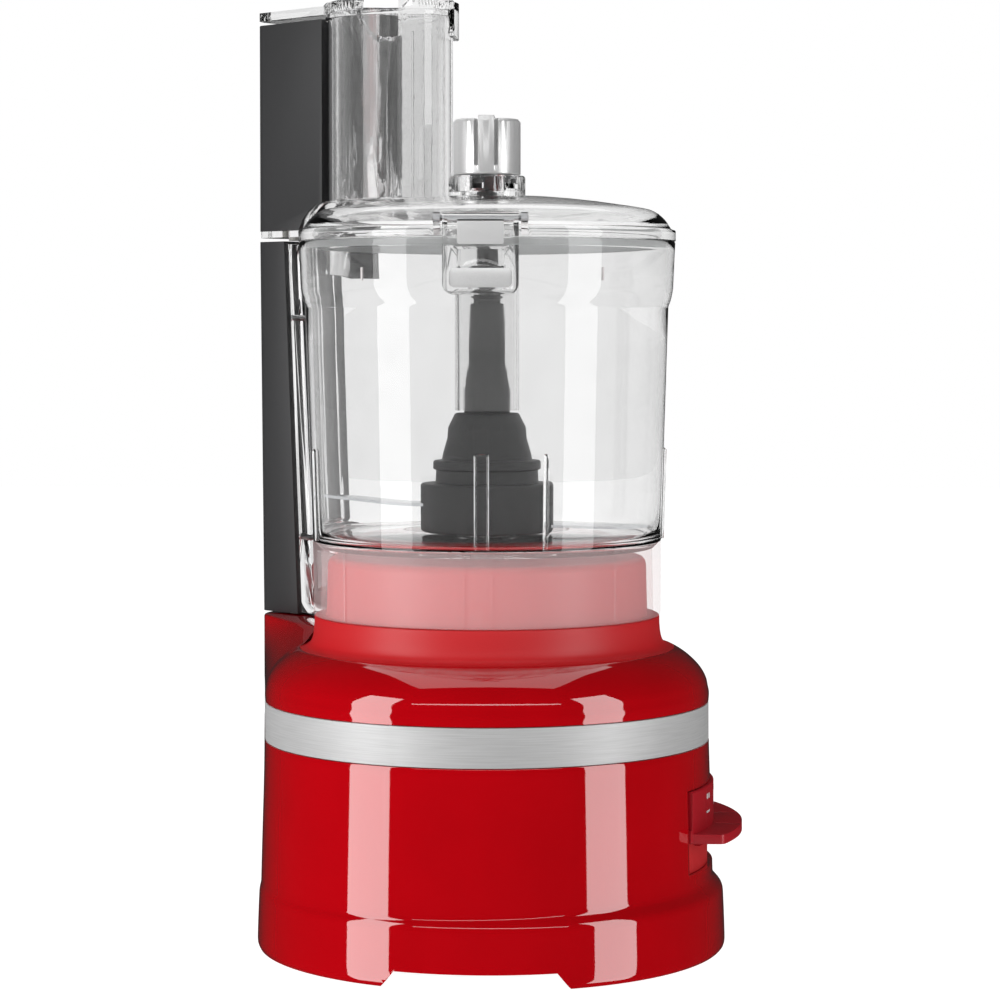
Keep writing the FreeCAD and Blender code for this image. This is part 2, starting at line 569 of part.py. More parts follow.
bowl_room = rev([(0, under_bowl), (bowl_low_r - 3.5, under_bowl), (bowl_low_r - 0.62, bowl_floor - 0.45),
                 (bowl_low_r - 0.62, bowl_floor - 0.25), (bowl_low_r + 5, bowl_floor - 0.25),
                 (bowl_low_r + 5, bowl_floor + 10), (0, bowl_floor + 10)])
bowl_skirt = bowl_skirt.cut(bowl_room).removeSplitter()
nodes["bowl_skirt"] = bowl_skirt

# Clear handle spine with an upper and a lower bridge to the bowl.
spine = side_plate([(spine_top_r, 337.0), (grip_in_top + 4.0, 338.0), (grip_in_low + 4.0, grip_bottom + 6.0),
                    (grip_in_low, grip_bottom + 0.4), (spine_low_r + 2.0, grip_bottom + 0.4),
                    (spine_low_r, grip_bottom + 3.0)], 10.0)
bridge_top = side_plate([(70, 316.0), (spine_top_r + 3.0, 322.0), (spine_top_r + 3.0, bowl_rim - 0.4),
                         (70, bowl_rim - 0.4)], 10.0)
bridge_low = side_plate([(70, 163.0), (spine_low_r + 4.0, 163.0), (spine_low_r + 4.0, 184.0),
                         (70, 180.0)], 8.0)
keep_out = rev([(0, 100), (bowl_low_r + 0.08, 100), (bowl_low_r + 0.08, bowl_floor + 2),
                (bowl_step_r + 0.05, bowl_step),
                (bowl_step_r + 0.95, bowl_step + 2.2), (bowl_band_r + 0.05, bowl_band),
                (bowl_rim_r + 0.05, bowl_rim), (bowl_rim_r + 0.05, 360), (0, 360)])
handle = join([spine, bridge_top, bridge_low]).cut(keep_out)
handle = handle.cut(cyl(rod_r + slip, 140, 350, rod_at, 0.0))
grip = side_plate([(grip_in_top, grip_top), (grip_out_top, grip_top), (grip_out_low, grip_bottom),
                   (grip_in_low, grip_bottom)], grip_half, 0.0)
grip_edges = [e for e in grip.Edges if abs(e.tangentAt(e.FirstParameter).z) > 0.9
              and min(v.X for v in e.Vertexes) > 145]
grip = grip.makeFillet(7.0, grip_edges)
rod_hole = cyl(rod_r + slip, 140, 350, rod_at, 0.0)
grip = grip.cut(rod_hole)
grip_socket = side_plate([(spine_top_r, 337.0), (grip_in_top + 4.0 + seam, 338.2),
                          (grip_in_low + 4.0 + seam, grip_bottom + 6.0),
                          (grip_in_low + 0.4, grip_bottom + 0.2),
                          (spine_low_r, grip_bottom + 0.2)], 10.0 + seam)
grip = grip.cut(grip_socket)
nodes["bowl_handle"] = at(handle, handle_turn)
nodes["handle_cover"] = at(grip, handle_turn)
grip_screws = []
for zc in (190.0, 300.0):
    inner = spine_low_r + (spine_top_r - spine_low_r) * (zc - grip_bottom) / (grip_top - grip_bottom)
    head = Part.makeCylinder(3.2, 2.0, V(inner - 1.0, 0, zc), V(1, 0, 0))
    screw_end = rod_at - rod_r - 1.6
    shank = Part.makeCylinder(1.5, min(19.0, screw_end - inner), V(inner, 0, zc), V(1, 0, 0))
    grip_screws.append(head.fuse(shank).removeSplitter())
nodes["bowl_handle"] = cut_all(nodes["bowl_handle"], [at(s, handle_turn) for s in grip_screws])
nodes["handle_cover"] = cut_all(nodes["handle_cover"], [at(s, handle_turn) for s in grip_screws])
nodes["handle_screws"] = Part.makeCompound([at(s, handle_turn) for s in grip_screws])
nodes["bowl_rod"] = cyl(rod_r, post_top + 0.8, grip_top - 0.4, rod_x, rod_y)

# ---------------------------------------------------------------- blade
hub = rev([
    (chimney_r + 1.0, 196.6), (30.8, 196.6), (31.7, 197.6), (31.7, 220.6), (30.9, 221.4),
    (24.6, 221.6), (24.3, 227.6), (25.7, 228.4), (25.7, 231.6), (25.0, 232.3), (21.6, 232.6),
    (20.9, 236.0), (18.9, 243.0), (18.6, 248.0), (15.4, 254.4), (14.6, 254.9),
    (11.0, 255.0), (11.0, chimney_top + 3.0), (chimney_r + 1.0, chimney_top + 3.0),
])
hub_body = hub
for cutter in ring_of(box(19.6, 24.0, -8.5, 8.5, 234.4, 246.0), 4, 45.0):
    hub_body = hub_body.cut(cutter)
nodes["blade_hub"] = hub_body
stem_top = 312.5
blade_stem = rev([
    (0, chimney_top + 6.0), (10.9, chimney_top + 6.0), (10.9, 266.0), (10.4, 269.0), (8.9, 277.6),
    (7.9, 305.0), (7.9, 308.6), (6.5, 309.0), (6.5, stem_top - 0.5), (6.0, stem_top), (0, stem_top),
])
bore_points = [(x * (hex_across + 0.12) / hex_across, y * (hex_across + 0.12) / hex_across) for x,
               y in hex_points]
blade_stem = blade_stem.cut(flat_plate(bore_points, chimney_top, drive_top + 0.8))
for cutter in ring_of(box(5.9, 8.0, -0.5, 0.5, 309.2, 320.0), 12):
    blade_stem = blade_stem.cut(cutter)
nodes["blade_stem"] = blade_stem
nodes["blade_hub"] = nodes["blade_hub"].cut(cyl(10.95, chimney_top, 270))


def knife(root_z, tip_z, tip_r, sweep):
    """Curved blade: a sickle in plan with a tapered edge, rising from its root to its tip."""
    outline = [(26.0, -9.0), (45.0, -12.0), (62.0, -11.0 + sweep * 0.3), (tip_r - 4, -4.0 + sweep),
               (tip_r, 2.0 + sweep), (tip_r - 6, 4.5 + sweep), (60.0, 5.0 + sweep * 0.4),
               (44.0, 7.0), (26.0, 9.0)]
    blank = flat_plate(outline, -8.0, 30.0)
    rise = tip_z - root_z
    ribbon = [(24.0, 0.0), (38.0, 0.0), (46.0, rise * 0.12), (tip_r + 3, rise), (tip_r + 3, rise + 1.4),
              (45.4, rise * 0.12 + 1.4), (38.0, 1.4), (24.0, 1.4)]
    sheet = side_plate([(r, z) for r, z in ribbon], 30.0)
    return moved(blank.common(sheet), 0, 0, root_z)


upper_turn = 176.0
lower_turn = -4.0
blade_high = at(knife(210.5, 214.8, 78.0, 4.0), upper_turn)
blade_low = at(knife(199.4, 198.4, 77.4, 4.0), lower_turn)
nodes["upper_blade"] = blade_high
nodes["lower_blade"] = blade_low
slot_high = at(box(25.9, 34.0, -12.2, 12.2, 210.4, 212.1), upper_turn)
slot_low = at(box(25.9, 34.0, -12.2, 12.2, 199.3, 201.0), lower_turn)
nodes["blade_hub"] = nodes["blade_hub"].cut(slot_high).cut(slot_low)

# ---------------------------------------------------------------- lid
def oval_at(a, b, z0, z1, grow=0.0):
    return oval(a + grow, b + grow, z0, z1, tube_centre)


dome_out = rev([
    (0, bowl_rim + 0.3), (lid_r - 0.5, bowl_rim + 0.3), (lid_r, bowl_rim + 0.8),
    (lid_r, lid_flange - 0.6), (lid_r - 0.6, lid_flange),
    (87.4, 342.3), (85.6, 345.2), (83.0, 348.0), (79.8, 350.3), (75.8, 351.6), (55.0, 354.8),
    (34.0, 357.0), (22.0, lid_crown), (0, lid_crown),
])
dome_in = rev([
    (0, bowl_rim), (83.4, bowl_rim), (83.4, lid_flange + 1.4), (81.4, 345.0), (78.4, 347.4), (74.6, 349.0),
    (54.6, 352.2), (33.8, 354.5), (22.0, 354.8), (0, 354.8),
])
saddle_out = at(side_plate([(40, lid_flange), (120.0, lid_flange), (120.0, plate_top + 0.6), (117.0, 349.6),
                            (112.0, 354.0), (106.5, 356.6), (100.0, 357.3), (40, 357.3)], 40.0),
                handle_turn)
saddle_rings = []
for ring_z, ring_a, ring_b in ((lid_flange - 2.0, 51.0, 37.5), (349.0, 48.0, 36.0), (354.6, 42.5, 32.5),
                               (lid_crown + 0.2, 37.4, 29.6)):
    saddle_rings.append(Part.Wire([Part.Ellipse(V(tube_centre, 0, ring_z), ring_a, ring_b).toShape()]))
saddle_plan = at(Part.makeLoft(saddle_rings, True, True), handle_turn)
handle_plate = side_plate([(60, lid_flange - 0.5), (column_out, lid_flange - 0.5),
                           (column_out, plate_top), (60, plate_top)], grip_half)
plate_edges = [e for e in handle_plate.Edges if abs(e.tangentAt(e.FirstParameter).z) > 0.99
               and min(v.X for v in e.Vertexes) > 150]
handle_plate = at(handle_plate.makeFillet(7.0, plate_edges), handle_turn)
saddle_body = saddle_out.common(saddle_plan)
lid = join([dome_out, saddle_body, handle_plate]).cut(dome_in)
saddle_hollow = at(oval_at(tube_a, tube_b, lid_flange + 3.2, 354.8, 0.0), handle_turn)
lid = lid.cut(saddle_hollow)
tube_hole = at(oval_at(tube_a, tube_b, 300, 400, 0.05), handle_turn)
inside_bowl = cyl(83.4, 300, 400)
lid = lid.cut(tube_hole.common(inside_bowl))
lid = lid.cut(at(oval_at(tube_a, tube_b, 354.0, 400, 0.05), handle_turn))
lid = lid.cut(cyl(sleeve_r + 0.05, 300, 400))
lid = lid.cut(cyl(rod_r + slip, 330, 360, rod_x, rod_y))
# ears that carry the latch pin
pin_r = 93.6
pin_z = 344.4
for side in (-19.6, 19.6):
    ear = side_plate([(lid_r - 3.0, bowl_rim + 0.9), (lid_r + 1.0, bowl_rim + 0.9),
                      (pin_r + 2.4, pin_z - 2.2), (pin_r + 2.4, pin_z + 1.2),
                      (pin_r + 1.2, pin_z + 2.4), (pin_r - 4.0, pin_z + 2.4),
                      (lid_r - 5.0, lid_flange - 0.2)], 1.5)
    ear = moved(ear, 0, side, 0)
    ear = ear.cut(Part.makeCylinder(1.55, 60, V(pin_r, -30, pin_z), V(0, 1, 0)))
    lid = lid.fuse(at(ear, latch_turn))
nodes["lid"] = lid.removeSplitter()

nodes["latch_pin"] = at(Part.makeCylinder(1.5, 42.6, V(pin_r, -21.3, pin_z), V(0, 1, 0)), latch_turn)
gasket = rev([(83.0, 332.6), (86.4, 332.6), (86.6, 333.2), (86.7, bowl_rim - 0.2), (84.2, bowl_rim - 0.2),
              (84.2, bowl_rim + 0.25), (83.45, bowl_rim + 0.25), (83.0, 335.0)])
nodes["lid_gasket"] = gasket

# Feed tube: oval shaft on the lid, open at both ends.
chute_low = lid_flange + 3.4
feed = at(oval_at(tube_a, tube_b, 354.1, tube_top - 2.5), handle_turn)
feed = feed.fuse(at(oval_at(tube_a, tube_b, tube_top - 2.5, tube_top, 1.2), handle_turn))
feed = feed.cut(at(oval_at(tube_a, tube_b, 300, 500, -tube_wall), handle_turn))
for i in range(-3, 4):
    flute = box(tube_centre + i * 8.4 - 0.8, tube_centre + i * 8.4 + 0.8, -tube_b - 2, -tube_b + 1.2,
                357.6, tube_top - 6)
    inside = oval_at(tube_a, tube_b, 350, 460, 0.9)
    feed = feed.fuse(at(flute.common(inside).cut(oval_at(tube_a, tube_b, 340, 470, -0.4)), handle_turn))
nodes["feed_tube"] = feed.removeSplitter()

# Charcoal cover of the column behind the feed tube.
column = side_plate([(column_in, column_top), (column_out, column_top), (column_out, plate_top + 0.1),
                     (120.4, plate_top + 0.1), (120.4, plate_top + 0.7), (117.3, 349.9), (112.2, 354.3),
                     (106.7, 356.9), (column_in, 357.4)], grip_half + 0.6)
column_edges = [e for e in column.Edges if abs(e.tangentAt(e.FirstParameter).z) > 0.99
                and min(v.X for v in e.Vertexes) > 150]
column = column.makeFillet(7.0, column_edges)
column = column.cut(cyl(rod_r + slip, 300, 500, rod_at, 0.0))
column = column.cut(oval_at(tube_a, tube_b, tube_top - 2.6, 500, 1.3))
nodes["column_cover"] = at(column, handle_turn)
nodes["lid_rod"] = cyl(rod_r, grip_top + 0.6, column_top + 1.6, rod_x, rod_y)
# Clear mounting web between tube and column.
web = side_plate([(tube_centre + tube_a - 1.0, 358.0), (column_in - 0.05, 358.0),
                  (column_in - 0.05, tube_top - 2.6),
                  (tube_centre + tube_a - 1.0, tube_top - 2.6)], 9.0)
web = web.cut(oval_at(tube_a, tube_b, 300, 500, 0.02))
nodes["column_web"] = at(web, handle_turn)

# Clear sleeve that hangs from the middle of the lid round the blade stem.
sleeve = tube(sleeve_r, sleeve_r - 2.0, sleeve_bottom, lid_crown - 0.5)
nodes["lid_sleeve"] = sleeve

# Knob with its collar: sets the slice thickness of a disc.
collar = rev([(9.0, lid_crown + 0.05), (18.25, lid_crown + 0.05), (18.25, 366.6), (17.6, 367.4),
              (15.4, 367.4),
              (15.4, 360.0), (9.0, 360.0)])
for cutter in ring_of(box(14.0, 20.0, -3.0, 3.0, 361.0, 363.6), 6, 15.0):
    collar = collar.cut(cutter)
nodes["knob_collar"] = collar
inner = tube(14.8, 5.2, 360.1, 366.4)
for cutter in ring_of(box(12.8, 16.0, -1.6, 1.6, 361.4, 370.0), 10):
    inner = inner.cut(cutter)
nodes["knob_ratchet"] = inner
knob = rev([(0, 367.9), (15.6, 367.9), (16.0, 368.4), (16.0, 392.8), (14.9, 394.2), (0, 394.3)])
fin = box(-3.8, 3.8, -15.9, 15.9, 368.6, 395.4)
knob = knob.cut(box(-5.6, -3.8, -20, 20, 372.0, 400.0).common(tube(20, 12.8, 360, 400)))
knob = knob.cut(box(3.8, 5.6, -20, 20, 372.0, 400.0).common(tube(20, 12.8, 360, 400)))
knob = join([knob, fin.common(cyl(16.5, 360, 400))])
nodes["adjust_knob"] = knob
nodes["knob_shaft"] = cyl(5.0, stem_top + 1.5, 367.85)

# ---------------------------------------------------------------- latch
latch_half = 17.0
latch_low = 310.2
latch_high = 346.6
frame = side_plate([(93.2, latch_low), (96.6, latch_low), (96.6, latch_high), (93.2, latch_high)], latch_half)
frame_edges = [e for e in frame.Edges if abs(e.tangentAt(e.FirstParameter).x) > 0.99]
frame_low = [e for e in frame_edges if e.Vertexes[0].Z < 320]
frame_up = [e for e in frame_edges if e.Vertexes[0].Z > 320]
frame = frame.makeFillet(5.0, frame_low)
frame = frame.cut(box(94.4, 98, -latch_half + 2.3, latch_half - 2.3, latch_low + 2.4, latch_high - 2.0))
window = box(90, 98, -10.6, 10.6, 323.0, 330.4)
frame = frame.cut(window)
pin_eye = Part.makeCylinder(3.0, 2 * latch_half, V(pin_r, -latch_half, pin_z), V(0, 1, 0))
frame = frame.fuse(pin_eye).cut(Part.makeCylinder(1.5 + running, 60, V(pin_r, -30, pin_z), V(0, 1, 0)))
frame = frame.cut(cyl(lid_r + 0.5, 300, 400))
nodes["latch_frame"] = at(frame.removeSplitter(), latch_turn)
plate_low_part = box(94.45, 95.9, -14.0, 14.0, 313.4, 322.0)
plate_high_part = box(94.45, 96.3, -10.4, 10.4, 332.6, 343.4)
high_edges = [e for e in plate_high_part.Edges if abs(e.tangentAt(e.FirstParameter).x) > 0.99]
plate_high_part = plate_high_part.makeFillet(1.0, high_edges)
plate_high_part = plate_high_part.cut(Part.makeCylinder(3.1, 60, V(pin_r, -30, pin_z), V(0, 1, 0)))
low_edges = [e for e in plate_low_part.Edges if abs(e.tangentAt(e.FirstParameter).x) > 0.99]
plate_low_part = plate_low_part.makeFillet(2.4, low_edges)
nodes["latch_plates"] = at(Part.makeCompound([plate_low_part, plate_high_part]), latch_turn)

# ---------------------------------------------------------------- pushers
gap_a = tube_a - tube_wall - pusher_gap
gap_b = tube_b - tube_wall - pusher_gap
push_low = 349.0
cavity_floor = push_low + 3.0
small_centre = tube_centre + 13.0
small_r = 13.4
body = at(oval(gap_a, gap_b, 356.0, tube_top + 1.5, tube_centre), handle_turn)
nose = at(oval(gap_a, gap_b, push_low, 356.2, tube_centre), handle_turn).common(cyl(82.6, 340, 360))
rim = at(oval(tube_a + 2.4, tube_b + 1.8, tube_top + 0.5, pusher_top - 0.8, tube_centre), handle_turn)
rim_top = at(oval(tube_a + 1.6, tube_b + 1.0, pusher_top - 1.0, pusher_top, tube_centre), handle_turn)
pusher = join([body, nose, rim, rim_top])
pusher = pusher.cut(at(oval(gap_a - 2.2, gap_b - 2.2, 358.4, 500, tube_centre), handle_turn))
tongue = side_plate([(96.0, column_top + 2.2), (column_out - 1.0, column_top + 2.2),
                     (column_out, column_top + 3.4),
                     (column_out, column_top + 5.0), (column_out - 1.6, column_top + 6.4),
                     (96.0, column_top + 6.4)], grip_half)
tongue_plan = cyl(25.0, 400, 500, column_out - 25.0, 0.0).fuse(box(80, column_out - 25.0, -40, 40, 400, 500))
tongue = tongue.common(tongue_plan)
pusher = pusher.fuse(at(tongue, handle_turn))
pusher = pusher.cut(at(oval(gap_a - 2.2, gap_b - 2.2, 358.4, 500, tube_centre), handle_turn))
small_x = small_centre * math.cos(math.radians(handle_turn))
small_y = small_centre * math.sin(math.radians(handle_turn))
inner_tube = tube(small_r + 2.0, small_r, 356.0, tube_top - 0.5, small_x, small_y)
inner_tube = inner_tube.common(at(oval(gap_a - 0.5, gap_b - 0.5, 340, 500, tube_centre), handle_turn))
pusher = pusher.fuse(inner_tube)
pusher = pusher.cut(cyl(small_r, 340, 500, small_x, small_y))
scoop = Part.makeCylinder(14.5, 14, V(49.5, 14.0, tube_top + 1.0), V(0, 1, 0))
scoop_cut = at(scoop, handle_turn)
pusher = pusher.cut(scoop_cut)
# lip that hangs from the rim down the free side of the tube
lip = oval_at(tube_a, tube_b, tube_top - 13.0, pusher_top - 1.4, 3.9)
lip = lip.cut(oval_at(tube_a, tube_b, tube_top - 14.0, pusher_top, 1.6))
lip_span = box(-30.0, 10.0, 28.0, 50.0, tube_top - 13.0, pusher_top)
lip_side = [e for e in lip_span.Edges if abs(e.tangentAt(e.FirstParameter).x) > 0.99 and e.Vertexes[0].Z < tube_top]
lip_span = lip_span.makeFillet(3.0, lip_side)
pusher = pusher.fuse(at(lip, handle_turn).common(lip_span))
nodes["food_pusher"] = pusher.removeSplitter()
# Small pusher for thin food, nested in its own round tube.
stick = cyl(small_r - 0.5, push_low + 0.5, tube_top + 0.5, small_x, small_y)
stick = stick.cut(cyl(small_r - 2.6, push_low + 3.0, 460, small_x, small_y))
cap = cyl(small_r + 1.2, tube_top - 0.3, tube_top + 2.9, small_x, small_y)
cap = cap.cut(cyl(small_r - 2.6, 440, 460, small_x, small_y))
small_pusher = stick.fuse(cap).removeSplitter()
nodes["small_pusher"] = small_pusher

# ---------------------------------------------------------------- common frame
# The origin is moved to the middle of the outer box, at the floor.
low = V(1e9, 1e9, 1e9)
high = V(-1e9, -1e9, -1e9)
for name in ("lower_housing", "speed_paddle", "handle_cover", "column_cover", "food_pusher",
             "latch_frame", "rubber_feet", "lead_bushing", "lid"):
    extent = nodes[name].optimalBoundingBox(False, False)
    low = V(min(low.x, extent.XMin), min(low.y, extent.YMin), min(low.z, extent.ZMin))
    high = V(max(high.x, extent.XMax), max(high.y, extent.YMax), max(high.z, extent.ZMax))
shift = V(-(low.x + high.x) / 2.0, -(low.y + high.y) / 2.0, 0)
print("outer box", round(high.x - low.x, 3), round(high.y - low.y, 3), round(high.z, 3))
print("drive axis at", round(shift.x, 4), round(shift.y, 4))

bad = []
for name in nodes:
    shape = nodes[name]
    shape.translate(shift)
    solids = shape.Solids
    if not solids or not shape.isValid():
        bad.append(name)
    shape.exportStep("parts/" + name + ".step")
    print(name, len(solids), round(shape.Volume / 1000.0, 2), "cm3")
print(len(nodes), "nodes; not valid:", bad)
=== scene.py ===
# %% [markdown]
# # A food processor, built round its engineering model
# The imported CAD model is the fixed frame: it says where every part is and which body it moves with.
# We load it, keep its outer box, and then dress it: new meshes for the parts whose surface matters most,
# softened copies of the smaller moulded parts, and one material for each real finish.

# %% Load the frame
import bpy
import json
import math
from mathutils import Matrix, Vector


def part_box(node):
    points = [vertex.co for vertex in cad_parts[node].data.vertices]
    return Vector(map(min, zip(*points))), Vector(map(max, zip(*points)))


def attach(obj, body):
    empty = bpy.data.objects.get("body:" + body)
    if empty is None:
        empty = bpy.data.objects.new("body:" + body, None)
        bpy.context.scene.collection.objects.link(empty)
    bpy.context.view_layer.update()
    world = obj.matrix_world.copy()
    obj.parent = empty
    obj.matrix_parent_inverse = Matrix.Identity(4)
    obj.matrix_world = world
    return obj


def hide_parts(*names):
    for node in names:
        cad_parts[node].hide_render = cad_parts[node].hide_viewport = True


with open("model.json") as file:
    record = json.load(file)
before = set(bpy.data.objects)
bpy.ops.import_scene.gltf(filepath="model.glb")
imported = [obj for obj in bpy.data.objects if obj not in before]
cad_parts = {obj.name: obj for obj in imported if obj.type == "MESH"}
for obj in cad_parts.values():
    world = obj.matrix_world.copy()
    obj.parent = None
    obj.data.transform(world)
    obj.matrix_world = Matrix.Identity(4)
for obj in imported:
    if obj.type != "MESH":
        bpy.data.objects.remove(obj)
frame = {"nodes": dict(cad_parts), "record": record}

bpy.ops.object.select_all(action="DESELECT")


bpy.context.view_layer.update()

# %% [markdown]
# The drive axis is the machine's natural centre line. Its place comes from the spindle in the frame,
# and lengths are written in millimetres and turned to metres by one factor.

# %% Drive axis and small helpers
MM = 0.001
low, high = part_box("drive_spindle")
axis = Vector(((low[0] + high[0]) / 2, (low[1] + high[1]) / 2, 0.0))
print("drive axis at", tuple(round(v, 5) for v in axis))


def only(obj):
    """Select one object and make it active."""
    bpy.ops.object.select_all(action="DESELECT")
    obj.select_set(True)
    bpy.context.view_layer.objects.active = obj


def place_applied(obj, name):
    """Name a piece and move its place into its mesh, so that the object sits at the origin."""
    only(obj)
    bpy.ops.object.transform_apply(location=True, rotation=True, scale=True)
    obj.name = name
    obj.data.name = name
    return obj


def modifier(obj, kind, **settings):
    """Add a modifier, set it up and apply it."""
    only(obj)
    added = obj.modifiers.new(kind.title(), kind)
    for key, value in settings.items():
        setattr(added, key, value)
    bpy.ops.object.modifier_apply(modifier=added.name)


def smooth(obj, degrees=32.0):
    only(obj)
    bpy.ops.object.shade_smooth_by_angle(angle=math.radians(degrees))


# %% [markdown]
# ## Camera
# The machine is seen from just above the middle of its height with a long lens, so upright edges stay
# nearly parallel. The camera stands 1.4 m from the drive axis, a degree and a half to the paddle side.

# %% Camera
CAMERA_DISTANCE = 1407 * MM
EYE_HEIGHT = 296 * MM
AIM_HEIGHT = 241.9 * MM
AIM_SIDE = 6.2 * MM
turn = math.radians(1.5)
side = Vector((math.cos(turn), math.sin(turn), 0.0))
away = Vector((-math.sin(turn), math.cos(turn), 0.0))
eye = axis - away * CAMERA_DISTANCE + side * AIM_SIDE
eye.z = EYE_HEIGHT
aim = axis + side * AIM_SIDE
aim.z = AIM_HEIGHT
camera_data = bpy.data.cameras.new("camera")
camera_data.lens = 106.2
camera_data.sensor_width = 36.0
camera_data.shift_y = -0.06
camera = bpy.data.objects.new("camera", camera_data)
bpy.context.scene.collection.objects.link(camera)
camera.location = eye
camera.rotation_euler = (aim - eye).to_track_quat("-Z", "Y").to_euler()
bpy.context.scene.camera = camera
print("camera", tuple(round(v, 3) for v in eye), "lens", camera_data.lens)

# %% [markdown]
# ## Materials
# Colours are written as sRGB hex values, as a colour picker gives them, and turned to the linear values
# that the renderer works in. One function adds a node with its settings and links.

# %% Colour and node helpers
def colour(hex_code, alpha=1.0):
    """Linear colour from an sRGB hex code."""
    def linear(c):
        return c / 12.92 if c <= 0.04045 else ((c + 0.055) / 1.055) ** 2.4
    parts = [int(hex_code[i:i + 2], 16) / 255.0 for i in (1, 3, 5)]
    return tuple(linear(c) for c in parts) + (alpha,)


def add_node(tree, kind, values=None, links=None, **settings):
    """Add one node: values for its sockets, links into them, settings for its options."""
    made = tree.nodes.new(kind)
    for key, value in settings.items():
        setattr(made, key, value)
    for key, value in (values or {}).items():
        made.inputs[key].default_value = value
    for key, source in (links or {}).items():
        tree.links.new(source, made.inputs[key])
    return made


def new_material(name, **sockets):
    """A material whose one Principled shader has these constant sockets."""
    material = bpy.data.materials.new(name)
    material.use_nodes = True
    tree = material.node_tree
    shader = tree.nodes["Principled BSDF"]
    for key, value in sockets.items():
        shader.inputs[key.replace("_", " ")].default_value = value
    return material, tree, shader


def object_coordinates(tree, scale=(1.0, 1.0, 1.0)):
    where = add_node(tree, "ShaderNodeTexCoord")
    return add_node(tree, "ShaderNodeMapping", {"Scale": scale}, {"Vector": where.outputs["Object"]})


def fine_bump(tree, shader, size_mm, strength, height_mm, stretch=(1.0, 1.0, 1.0), detail=2.0):
    """A noise relief whose grains are about size_mm across."""
    scale = tuple(s / (size_mm * MM) for s in stretch)
    spot = object_coordinates(tree, scale)
    noise = add_node(tree, "ShaderNodeTexNoise", {"Scale": 1.0, "Detail": detail, "Roughness": 0.5},
                     {"Vector": spot.outputs["Vector"]})
    bump = add_node(tree, "ShaderNodeBump", {"Strength": strength, "Distance": height_mm * MM},
                    {"Height": noise.outputs["Fac"]})
    tree.links.new(bump.outputs["Normal"], shader.inputs["Normal"])
    return noise


def mottle(tree, shader, noise, dark, light):
    """Let the noise move the base colour between two close tones."""
    ramp = add_node(tree, "ShaderNodeValToRGB", links={"Fac": noise.outputs["Fac"]})
    ramp.color_ramp.elements[0].position = 0.3
    ramp.color_ramp.elements[0].color = colour(dark)
    ramp.color_ramp.elements[1].position = 0.7
    ramp.color_ramp.elements[1].color = colour(light)
    tree.links.new(ramp.outputs["Color"], shader.inputs["Base Color"])


def grained(name, tones, size_mm, strength, height_mm, stretch=(1.0, 1.0, 1.0), detail=2.0, **sockets):
    """A finish with a grain of its own whose colour wanders between a dark and a light tone."""
    material, tree, shader = new_material(name, **sockets)
    noise = fine_bump(tree, shader, size_mm, strength, height_mm, stretch, detail)
    mottle(tree, shader, noise, *tones)
    return material


# %% [markdown]
# High-gloss ABS is coloured right through and comes from a mirror-polished mould, so it reflects lamps
# as sharp strips. A trace of very wide waviness keeps those strips from being ruler-straight.

# %% Gloss red ABS
gloss_red = grained("gloss_red_abs", ("#A40009", "#A9000A"), 28.0, 0.05, 0.35, Roughness=0.04, IOR=1.5,
                    Coat_Weight=1.0, Coat_Roughness=0.02)

# %% [markdown]
# The bowl seat, the pocket and the paddle are the same red, but from a spark-eroded mould whose fine grain
# scatters the light. The grain is about a tenth of a millimetre, drawn three times coarser so it shows.

# %% Satin red ABS
satin_red = grained("satin_red_abs", ("#B61218", "#BC161C"), 0.35, 0.12, 0.05, Roughness=0.46, IOR=1.5)
paddle_red = grained("satin_dark_red_abs", ("#9C0818", "#A30A1B"), 0.35, 0.1, 0.05, Roughness=0.36,
                     IOR=1.5)

# %% [markdown]
# The band is aluminium sheet brushed along its length and then anodised: fine lines run round the
# machine, so the noise is stretched along the circumference and kept thin in height.

# %% Brushed aluminium
brushed_aluminium = grained("brushed_anodised_aluminium", ("#B9B9B9", "#C8C8C8"), 0.45, 0.18, 0.03,
                            stretch=(0.02, 0.02, 1.0), detail=4.0, Metallic=0.45, Roughness=0.5,
                            Anisotropic=0.4)
satin_silver = grained("satin_metallised_silver", ("#DCDCDC", "#E6E6E6"), 0.3, 0.06, 0.02, Metallic=0.5,
                       Roughness=0.34)

# %% [markdown]
# Bowl, lid and pushers are injection-moulded copolyester: water-clear, with a polished skin. Light bends
# at each wall, which draws the dark edges. The frosted skirt has a blasted inner face that blurs the red
# seat behind it. Its pale pink base colour is painted light: it stands for the red seat's light scattered
# through the frost, and the plastic itself is colourless.

# %% Clear and frosted copolyester
clear_plastic = grained("clear_copolyester", ("#F2F2F2", "#F5F5F5"), 22.0, 0.04, 0.3, Roughness=0.0,
                        IOR=1.45, Transmission_Weight=1.0)
# The frosted finish's pink tones are painted light from the red seat behind; only their small random wander is
# the plastic's own.
frosted_plastic = grained("frosted_copolyester_painted_red_light", ("#FFE4E4", "#FFECEC"), 0.3, 0.08, 0.04, Roughness=0.35,
                          IOR=1.45, Alpha=0.15)
gasket_clear = grained("clear_silicone", ("#DADCDC", "#E4E6E6"), 1.0, 0.05, 0.03, Roughness=0.3, IOR=1.41,
                       Transmission_Weight=0.6)

# %% [markdown]
# Grip, column and blade hub are charcoal polypropylene and nylon with a fine matt grain.

